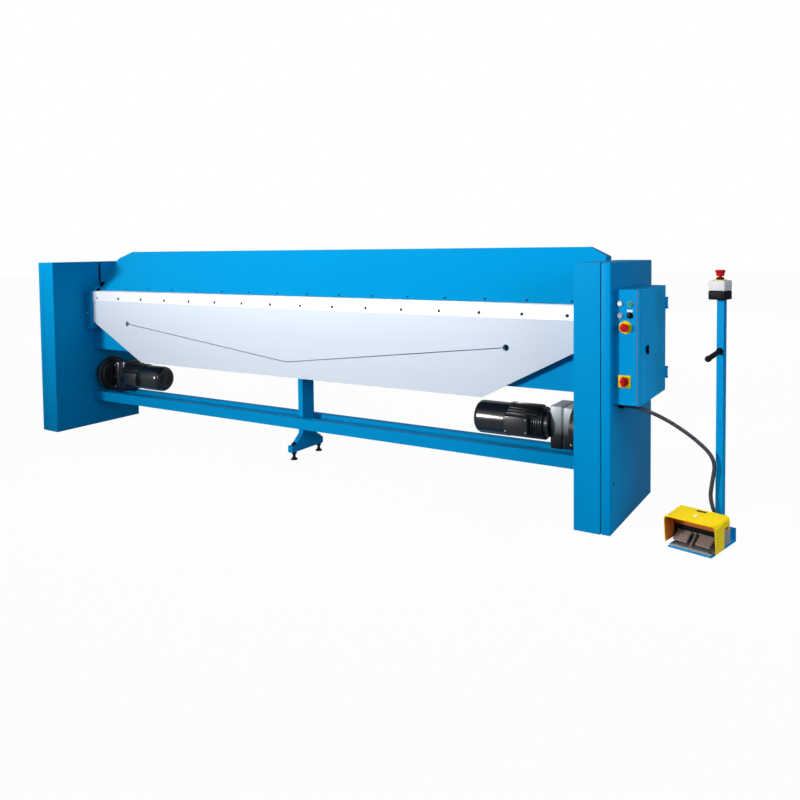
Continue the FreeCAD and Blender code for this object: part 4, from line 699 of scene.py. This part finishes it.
class BuildCabinet(bpy.types.Operator):
    """Electrical cabinet with door, seal, latch and the devices inside."""

    bl_idname = "folder.build_cabinet"
    bl_label = "Cabinet"

    def execute(self, context):
        paint("enamel", "cabinet_box")
        # The door's paler paint is painted light on its side face.
        paint("door_painted_light", "cabinet_door")
        paint("zinc", "mounting_panel", "device_rail")
        self.build_seal()
        self.build_latch()
        self.build_contactors()
        self.build_terminals()
        return {"FINISHED"}

    def build_seal(self):
        """Foam seal on the cabinet's rim, seen as a dull red line beside the door."""
        rim_depth, rim_height, inset, width = 0.490, 0.535, 0.0015, 0.010
        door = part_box("cabinet_door")[0]
        start, end = door.x - 0.003, door.x - 0.0004
        front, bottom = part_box("cabinet_box")[0].y, door.z
        rear, top = front + rim_depth, bottom + rim_height
        bm = bmesh.new()
        for low, high in (
                ((front + inset, bottom + inset), (front + width, top - inset)),
                ((rear - width, bottom + inset), (rear - inset, top - inset)),
                ((front + width, bottom + inset), (rear - width, bottom + width)),
                ((front + width, top - width), (rear - width, top - inset))):
            block(bm, (start, *low), (end, *high))
        piece("door_seal", bm, "seal")

    def build_latch(self):
        """Quarter-turn latch: round escutcheon with a wing, and its stem through the door."""
        low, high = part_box("door_latch")
        centre = middle("door_latch")
        face = high.x - 0.012
        centre.x = 0
        wing = Vector((0, 0.006, 0.022))
        bm = bmesh.new()
        lathe(bm, [(0, 0), (0.014, 0), (0.014, 0.004), (0.011, 0.007), (0.008, 0.008), (0, 0.008)],
              centre + X * face, X, 32)
        block(bm, centre - wing + X * (face + 0.003), centre + wing + X * high.x, 0.0025, 3)
        disc(bm, centre + X * low.x, X, 0.005, face - low.x + 0.001, 0, 20)
        piece("latch_wing", bm, "black_plastic", "latch", "door_latch")

    def build_contactors(self):
        """Five contactors, each a body, a raised front and six screws."""
        low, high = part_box("contactors")
        count, width, depth, rim = 5, 0.045, 0.045, 0.004
        edge = sizes().plastic_round
        pitch = (high.y - low.y - width) / (count - 1)
        bm = bmesh.new()
        for index in range(count):
            start = low.y + pitch * index
            block(bm, (low.x, start, low.z), (low.x + depth, start + width, high.z), edge)
            block(bm, (low.x + depth - 0.001, start + rim, low.z + 0.016),
                  (high.x, start + width - rim, high.z - 0.016), edge)
            for screw in (0.009, 0.0225, 0.036):
                for height in (low.z + 0.008, high.z - 0.008):
                    disc(bm, (low.x + depth - 0.0005, start + screw, height), X, 0.0035, 0.001,
                         0, 10)
        piece("contactor_row", bm, "pale_plastic", replaces="contactors")

    def build_terminals(self):
        """A row of terminals, each a foot and a narrower, deeper middle."""
        low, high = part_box("terminal_strip")
        count, gap, edge, foot, step = 40, 0.0003, 0.0008, 0.006, 0.012
        pitch = (high.y - low.y) / count
        bm = bmesh.new()
        for index in range(count):
            start, end = low.y + pitch * index + gap, low.y + pitch * (index + 1) - gap
            block(bm, (low.x, start, low.z), (high.x - foot, end, high.z), edge)
            block(bm, (low.x, start, low.z + step), (high.x, end, high.z - step), edge)
        piece("terminal_row", bm, "grey_plastic", replaces="terminal_strip")


class BuildControls(bpy.types.Operator):
    """Buttons, selector, emergency stop and main switch on the cabinet's front."""

    bl_idname = "folder.build_controls"
    bl_label = "Controls"

    def execute(self, context):
        for colour in ("white", "green", "grey"):
            self.build_button(colour + "_button", colour + "_push", colour + "_plastic")
        self.build_selector()
        self.build_collars()
        self.build_cabinet_stop()
        self.build_main_switch()
        return {"FINISHED"}

    def centre(self, node):
        """The point of the cabinet's front that a control stands on."""
        at = middle(node)
        at.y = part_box("stop_disc")[1].y
        return at

    def build_button(self, name, body, material):
        """Flush push button with a slightly hollow cap."""
        turned(name + "_cap", [(0, -0.014), (0.0108, -0.014), (0.0108, 0.0075), (0.0098, 0.009),
                               (0.0075, 0.0086), (0, 0.0080)],
               self.centre(name), -Y, 36, material, body, name)

    def build_selector(self):
        """Selector knob: round base with a wing grip and a white mark, under a blank label."""
        at = self.centre("selector_knob")
        bm = bmesh.new()
        lathe(bm, [(0, -0.014), (0.0108, -0.014), (0.0108, 0.005), (0, 0.005)], at, -Y, 36)
        block(bm, at + Vector((-0.004, -0.018, -0.0095)), at + Vector((0.004, -0.003, 0.0095)),
              0.0014, 3)
        piece("selector_grip", bm, "black_plastic", "selector", "selector_knob")
        boxed("selector_mark", at + Vector((-0.0006, -0.0182, 0.001)),
              at + Vector((0.0006, -0.0178, 0.008)), 0, 0, "white_plastic", "selector")
        boxed("blank_label", at + Vector((-0.013, -0.0012, 0.0165)),
              at + Vector((0.013, 0, 0.0265)), 0.0004, 2, "white_plastic")

    def build_collars(self):
        """Bright bezels of the buttons and black collars of both stops."""
        bore, rim, height = 0.0112, 0.0145, 0.005
        bezel = [(bore, 0), (rim, 0), (rim, height / 2), (rim - 0.002, height), (bore, height),
                 (bore, 0)]
        bm = bmesh.new()
        for name in ("white_button", "green_button", "grey_button"):
            lathe(bm, bezel, self.centre(name), -Y, 40)
        piece("bezel_set", bm, "bezel")
        stem = 0.0084
        bm = bmesh.new()
        lathe(bm, bezel, self.centre("selector_knob"), -Y, 40)
        lathe(bm, [(stem, 0), (0.014, 0), (0.0135, 0.008), (0.0125, 0.009), (stem, 0.009),
                   (stem, 0)], self.centre("cabinet_stop"), -Y, 40)
        lathe(bm, [(stem, 0), (0.0175, 0), (0.0175, 0.005), (0.0165, 0.006), (0.0165, 0.013),
                   (0.0155, 0.014), (stem, 0.014), (stem, 0)], stand_stop_foot(), Z, 40)
        piece("collar_set", bm, "black_plastic", replaces="button_collars")
        inner, outer, thick = 0.0177, 0.030, 0.0035
        turned("stand_stop_ring", [(inner, 0), (outer, 0), (outer, 0.002), (0.028, thick),
                                   (inner, thick), (inner, 0)],
               stand_stop_foot(), Z, 56, "yellow_plastic")

    def build_cabinet_stop(self):
        """Mushroom head on its yellow disc."""
        at = self.centre("cabinet_stop")
        inner, outer, thick = 0.0145, 0.030, 0.003
        turned("stop_backing_disc", [(inner, 0), (outer, 0), (outer, 0.002), (0.029, thick),
                                     (inner, thick), (inner, 0)],
               at, -Y, 56, "yellow_plastic", replaces="stop_disc")
        turned("cabinet_stop_mushroom", [
            (0, -0.014), (0.008, -0.014), (0.008, 0.0144), (0.013, 0.0144), (0.017, 0.0185),
            (0.0195, 0.0225), (0.020, 0.0245), (0.0192, 0.0270), (0.0165, 0.0286),
            (0.012, 0.0293), (0, 0.0294)], at, -Y, 48, "red_plastic", "cabinet_stop_head",
            "cabinet_stop")

    def build_main_switch(self):
        """Rotary main switch: yellow square and red bar handle."""
        low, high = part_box("main_switch_plate")
        boxed("main_switch_square", low, high, 0.0014, 3, "yellow_plastic",
              replaces="main_switch_plate")
        at = middle("main_switch")
        at.y = low.y - 0.0004
        bm = bmesh.new()
        lathe(bm, [(0, 0), (0.020, 0), (0.020, 0.004), (0.018, 0.009), (0.016, 0.010),
                   (0, 0.010)], at, -Y, 48)
        block(bm, at + Vector((-0.0075, -0.024, -0.023)), at + Vector((0.0075, -0.006, 0.023)),
              0.003, 3)
        disc(bm, at - Y * 0.001, Y, 0.006, 0.018, 0, 24)
        piece("main_switch_handle", bm, "red_plastic", "switch_handle", "main_switch")


def stand_stop_foot():
    """The point on top of the stop box that the stand's stop button stands on."""
    at = middle("stand_stop")
    at.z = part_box("stop_box_cover")[1].z
    return at


class BuildStand(bpy.types.Operator):
    """Stand beside the machine: mast, grip bar and the emergency stop box."""

    bl_idname = "folder.build_stand"
    bl_label = "Stand"

    def execute(self, context):
        paint("enamel", "stand_base", "stand_mast")
        self.build_grip()
        self.build_box()
        self.build_stop()
        return {"FINISHED"}

    def build_grip(self):
        """Black grip bar that points to the front of the stand and hangs a little."""
        tilt, root = math.radians(10), (0.134, 0.226, 0.872)
        turned("grip_bar", [
            (0, -0.002), (0.015, -0.002), (0.015, 0.010), (0.0135, 0.012), (0.0115, 0.014),
            (0.0115, 0.116), (0.0135, 0.121), (0.0140, 0.128), (0.0132, 0.135),
            (0.0100, 0.1385), (0, 0.140)], root, (0, -math.cos(tilt), -math.sin(tilt)), 32,
            "black_plastic", replaces="stand_grip", move=STAND)

    def build_box(self):
        """Stop box: black lower half, pale cover with four screws."""
        low, high = Vector((0.097, 0.180, 1.106)), Vector((0.171, 0.264, 1.192))
        split, gap, corner = 1.146, 0.0008, 0.009
        boxed("stop_box_lower", low, (high.x, high.y, split - gap), 0.004, 3, "black_plastic",
              replaces="stop_box_base", move=STAND)
        boxed("stop_box_upper", (low.x, low.y, split), high, 0.005, 3, "pale_plastic",
              replaces="stop_box_cover", move=STAND)
        bm = bmesh.new()
        for x in (low.x + corner, high.x - corner):
            for y in (low.y + corner, high.y - corner):
                disc(bm, (x, y, high.z - 0.0002), Z, 0.0035, 0.0007, 0, 16)
        piece("stop_box_screws", bm, "zinc", move=STAND)

    def build_stop(self):
        """Tall red stop head, flared to its top."""
        turned("stand_stop_mushroom", [
            (0, -0.014), (0.008, -0.014), (0.008, 0.0194), (0.016, 0.0194), (0.0172, 0.0270),
            (0.0190, 0.0350), (0.0216, 0.0405), (0.0219, 0.0440), (0.0200, 0.0465),
            (0.015, 0.0473), (0, 0.0474)], stand_stop_foot(), Z, 56, "red_plastic",
            "stand_stop_head", "stand_stop")


class BuildFootSwitch(bpy.types.Operator):
    """Foot switch: cast base, two pedals, yellow hood and the switch housing."""

    bl_idname = "folder.build_foot_switch"
    bl_label = "Foot switch"

    def execute(self, context):
        paint("cast_grey", "pedal_base")
        paint("tread", "left_pedal", "right_pedal")
        paint("powder_yellow", "pedal_hood")
        self.build_housing()
        self.build_nose()
        self.build_liner()
        self.build_base_screws()
        self.build_hood_details()
        return {"FINISHED"}

    def build_housing(self):
        """Grey switch housing with a raised lid."""
        bm = bmesh.new()
        block(bm, (0.004, 0.132, 0.006), (0.192, 0.219, 0.082), 0.006, 3)
        block(bm, (0.008, 0.133, 0.080), (0.188, 0.215, 0.096), 0.004, 3)
        piece("switch_housing_body", bm, "cast_grey", replaces="switch_housing", move=STAND)

    def build_nose(self):
        """The housing's nose behind the pedals: black as painted shade on its front, with a key for
        each, under an apron in the hood's orange painted shade.
        """
        left, right, front, back = -0.0055, 0.192, 0.0764, 0.1285
        bottom, split, top = 0.066, 0.090, 0.117
        key_half, key_bottom, key_top = 0.020, 0.070, 0.086
        bm = bmesh.new()
        block(bm, (left, front, bottom), (right, back, split), 0.002)
        for across in (0.039, 0.142):
            block(bm, (across - key_half, front - 0.0004, key_bottom),
                  (across + key_half, back, key_top), 0.001)
        # The nose and its keys are matt black as painted shade on the housing's front.
        piece("switch_housing_nose", bm, "rubber", move=STAND)
        # The apron has the orange painted shade of the hood's inside.
        boxed("switch_housing_apron", (left, front, split - 0.001), (right, back, top), 0.003, 3,
              "hood_inside", move=STAND)

    def build_liner(self):
        """Thin sheets on the hood's inner faces in darker orange as painted shade, and a black
        sheet in the notch of its left side as painted shade there."""
        thin, left, right, foot = 0.0004, -0.0065, 0.2185, 0.0265
        front, back, notch_front, notch_top = -0.0235, 0.1285, 0.0735, 0.1185
        roof_front, roof_back, cheek_back = 0.1440, 0.1540, 0.1400
        cheek = [(-0.0080, foot), (notch_front, foot), (notch_front, notch_top),
                 (back, notch_top), (back, cheek_back), (front + 0.001, 0.1310)]
        roof = [(front, roof_front - thin), (front, roof_front), (back, roof_back),
                (back, roof_back - thin)]
        bm = bmesh.new()
        sheet(bm, cheek, left, left + thin)
        sheet(bm, cheek, right - thin, right)
        block(bm, (left + 0.001, back - thin, 0.0965), (right - 0.001, back, cheek_back))
        sheet(bm, roof, left + 0.013, right - 0.013)
        # The lining's darker orange is painted shade inside the hood.
        piece("hood_painted_shade_lining", bm, "hood_inside", move=STAND)
        # A black sheet in the notch of the left cheek, as painted shade.
        boxed("hood_notch_painted_shade", (left, notch_front - 0.0005, foot),
              (left + thin, back, notch_top + 0.0005), 0, 0, "rubber", move=STAND)

    def build_base_screws(self):
        """Two screws that hold the cast base at its front corners."""
        bm = bmesh.new()
        for across in (0.016, 0.180):
            lathe(bm, [(0, 0), (0.0042, 0), (0.0042, 0.0022), (0.0034, 0.0030), (0.0022, 0.0030),
                       (0.0022, 0.0012), (0, 0.0012)], (across, 0.022, 0.0148), Z, 20)
        piece("base_screws", bm, "black_oxide", move=STAND)

    def build_hood_details(self):
        """The pale plug and the dark slot in the sloping roof of the hood."""
        slope = math.atan2(0.010, 0.156)
        roof = STAND @ Matrix.Translation((0.105, 0.050, 0.1528)) @ Matrix.Rotation(slope, 4, "X")
        turned("hood_plug", [(0, -0.002), (0.011, -0.002), (0.011, 0.0006), (0.009, 0.0018),
                             (0, 0.0020)], (0, 0, 0), Z, 32, "pale_plastic", move=roof)
        boxed("hood_slot", (-0.022, 0.052, -0.0005), (0.022, 0.066, 0.0008), 0.0003, 2,
              "black_plastic", move=roof)


class BuildCable(bpy.types.Operator):
    """Cable from the right frame to the foot switch, with its glands."""

    bl_idname = "folder.build_cable"
    bl_label = "Foot switch cable"

    def execute(self, context):
        start = Vector(CABLE_EXIT)
        route = [start] + [Vector(CABLE_LEAD_END) + Vector((run * CABLE_WAY[0], run * CABLE_WAY[1],
                                                            height - start.z))
                           for run, height in CABLE_CORNERS]
        curve = bpy.data.curves.new("foot_switch_conduit", "CURVE")
        curve.dimensions = "3D"
        spline = curve.splines.new("NURBS")
        spline.points.add(len(route) - 1)
        for point, place in zip(spline.points, route):
            point.co = (*place, 1.0)
        spline.order_u = 3
        spline.use_endpoint_u = True
        spline.resolution_u = 12
        curve.bevel_depth = sizes().cable_diameter / 2
        curve.bevel_resolution = 6
        curve.use_fill_caps = True
        conduit = bpy.data.objects.new("foot_switch_conduit", curve)
        bpy.context.scene.collection.objects.link(conduit)
        curve.materials.append(MATERIALS["conduit"])
        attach(conduit, "machine")
        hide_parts("conduit_cable")
        self.build_glands(route)
        return {"FINISHED"}

    def build_glands(self, route):
        """Ribbed glands: one on the frame, a longer one on the switch housing."""
        body, length, far_length = 0.0125, 0.024, 0.048
        hexagon = length * 0.42
        foot = route[0] - X * length
        bm = bmesh.new()
        lathe(bm, [(0, 0), (body, 0), (body, hexagon), (0.0115, hexagon + 0.001),
                   (0.0120, length - 0.004), (0.0102, length), (0, length)], foot, X, 36)
        lathe(bm, [(0, 0), (0.0100, 0), (body, 0.006), (body, 0.018), (0.0115, 0.020),
                   (body, 0.022), (body, far_length), (0, far_length)],
              route[-1], (route[-1] - route[-2]).normalized(), 36)
        disc(bm, foot, X, 0.013, 0.009, 0.0006, 6)
        piece("conduit_glands", bm, "black_plastic", replaces="cable_glands")


class BuildStage(bpy.types.Operator):
    """White floor, soft lamps and the camera of the photograph."""

    bl_idname = "folder.build_stage"
    bl_label = "Stage"

    def execute(self, context):
        self.build_floor()
        self.build_world()
        self.build_lamps()
        self.build_camera()
        return {"FINISHED"}

    def build_floor(self):
        """A plain floor that shows white to the camera, takes soft shade, and throws less
        light back than a white sheet would."""
        half_width, drop, shown, mirrored, tone = 40, 0.5 * MM, 0.96, 0.1, "#84898E"
        bm = bmesh.new()
        bmesh.ops.create_grid(bm, x_segments=1, y_segments=1, size=half_width)
        mesh = bpy.data.meshes.new("studio_floor")
        bm.to_mesh(mesh)
        bm.free()
        floor = bpy.data.objects.new("studio_floor", mesh)
        floor.location.z = -drop
        bpy.context.scene.collection.objects.link(floor)
        material = bpy.data.materials.new("white_studio_sheet")
        tree = empty_tree(material)
        rays = add(tree, "ShaderNodeLightPath").outputs
        gleam = add(tree, "ShaderNodeMapRange", Value=rays["Is Glossy Ray"], To_Max=mirrored)
        share = add(tree, "ShaderNodeMapRange", Value=rays["Is Camera Ray"],
                    To_Min=gleam.outputs["Result"], To_Max=shown)
        paper = add(tree, "ShaderNodeMix", {"data_type": "RGBA"},
                    {FIRST: linear(tone), SECOND: linear("#FFFFFF")},
                    Factor=rays["Is Camera Ray"])
        sheet_shader = add(tree, "ShaderNodeBsdfDiffuse", Color=paper.outputs[MIXED])
        white = add(tree, "ShaderNodeEmission", Color=(1, 1, 1, 1), Strength=1.0)
        seen = add(tree, "ShaderNodeMixShader", Fac=share.outputs["Result"])
        tree.links.new(sheet_shader.outputs[0], seen.inputs[1])
        tree.links.new(white.outputs[0], seen.inputs[2])
        add(tree, "ShaderNodeOutputMaterial", Surface=seen.outputs[0])
        mesh.materials.append(material)

    def build_world(self):
        """A white room to the camera, whose light grows from the horizon to the ceiling."""
        horizon, ceiling = 0.14, 0.5
        world = bpy.data.worlds.new("white_room")
        tree = empty_tree(world)
        way = add(tree, "ShaderNodeTexCoord")
        height = add(tree, "ShaderNodeSeparateXYZ", Vector=way.outputs["Generated"])
        sky = add(tree, "ShaderNodeMapRange", Value=height.outputs["Z"], To_Min=horizon,
                  To_Max=ceiling)
        rays = add(tree, "ShaderNodeLightPath")
        strength = add(tree, "ShaderNodeMapRange", Value=rays.outputs["Is Camera Ray"],
                       To_Min=sky.outputs["Result"], To_Max=1.0)
        back = add(tree, "ShaderNodeBackground", Color=(1, 1, 1, 1),
                   Strength=strength.outputs["Result"])
        add(tree, "ShaderNodeOutputWorld", Surface=back.outputs[0])
        bpy.context.scene.world = world
        bpy.context.scene.view_settings.view_transform = "Standard"

    def build_lamps(self):
        """A key from the left front, aimed high so that it fades to the floor, a small lamp over
        the stand, one for the shine on round housings, a rear one and a fill at the right."""
        white, cool = (1, 1, 1), (0.7, 0.9, 1.2)
        for name, place, aim, size, spread, power, tint in (
                ("key", (-5.5, -10.5, 3.2), (0.2, 0, 4.8), 2.4, 54, 415, white),
                ("top", (3.1, -1.2, 2.3), (2.55, -0.42, 0.1), 0.3, 32, 1.0, white),
                ("glint", (-3.6, -11.0, 3.1), (1.4, 0, 0.4), 2.2, 180, 100, white),
                ("rear", (-5.0, 11.0, 5.0), (0, 0, 0.8), 5.0, 180, 380, white),
                ("fill", (9.0, -5.0, 3.0), (1.6, 0, 0.8), 4.0, 180, 200, cool)):
            lamp = bpy.data.lights.new(name + "_lamp", "AREA")
            lamp.shape = "DISK"
            lamp.size = size
            lamp.spread = math.radians(spread)
            lamp.energy = power
            lamp.color = tint
            item = bpy.data.objects.new(name + "_lamp", lamp)
            item.location = place
            item.visible_glossy = name != "rear"
            item.visible_diffuse = name != "glint"
            item.rotation_euler = (Vector(aim) - Vector(place)).to_track_quat(
                "-Z", "Y").to_euler()
            bpy.context.scene.collection.objects.link(item)

    def build_camera(self):
        """The photograph's viewpoint: turned to its azimuth, pitched down, then rolled."""
        data = bpy.data.cameras.new("photo_camera")
        data.sensor_width = CAMERA_SENSOR
        data.lens = CAMERA_LENS
        data.shift_y = CAMERA_SHIFT
        data.clip_end = 100
        camera = bpy.data.objects.new("photo_camera", data)
        camera.location = CAMERA_PLACE
        level = Vector((-math.sin(CAMERA_AZIMUTH), math.cos(CAMERA_AZIMUTH), 0))
        aim = level * math.cos(CAMERA_PITCH) - Z * math.sin(CAMERA_PITCH)
        right = level.cross(Z)
        tilted = right * math.cos(CAMERA_ROLL) + right.cross(aim) * math.sin(CAMERA_ROLL)
        turn = Matrix((tilted, tilted.cross(aim), -aim)).transposed()
        camera.rotation_euler = turn.to_euler()
        bpy.context.scene.collection.objects.link(camera)
        bpy.context.scene.camera = camera


class FOLDER_PT_pieces(bpy.types.Panel):
    """Lists the sizes, the colours and the builders."""

    bl_label = "Sheet Metal Folder"
    bl_space_type = "VIEW_3D"
    bl_region_type = "UI"
    bl_category = "Folder"

    def draw(self, context):
        for group in (context.scene.folder_sizes, context.scene.folder_colours):
            for key in group.__annotations__:
                self.layout.prop(group, key)
        for builder in BUILDERS:
            self.layout.operator(builder.bl_idname)


BUILDERS = (BuildFrames, BuildFoldingBeam, BuildClampBeam, BuildDrives, BuildCabinet,
            BuildControls, BuildStand, BuildFootSwitch, BuildCable, BuildStage)
CLASSES = (FolderSizes, FolderColours) + BUILDERS + (FOLDER_PT_pieces,)


def register():
    for one in CLASSES:
        bpy.utils.register_class(one)
    bpy.types.Scene.folder_sizes = bpy.props.PointerProperty(type=FolderSizes)
    bpy.types.Scene.folder_colours = bpy.props.PointerProperty(type=FolderColours)


def unregister():
    del bpy.types.Scene.folder_colours
    del bpy.types.Scene.folder_sizes
    for one in reversed(CLASSES):
        bpy.utils.unregister_class(one)


def main():
    register()
    make_materials(bpy.context.scene.folder_colours)
    for builder in BUILDERS:
        group, name = builder.bl_idname.split(".")
        getattr(getattr(bpy.ops, group), name)()


if __name__ == "__main__":
    main()
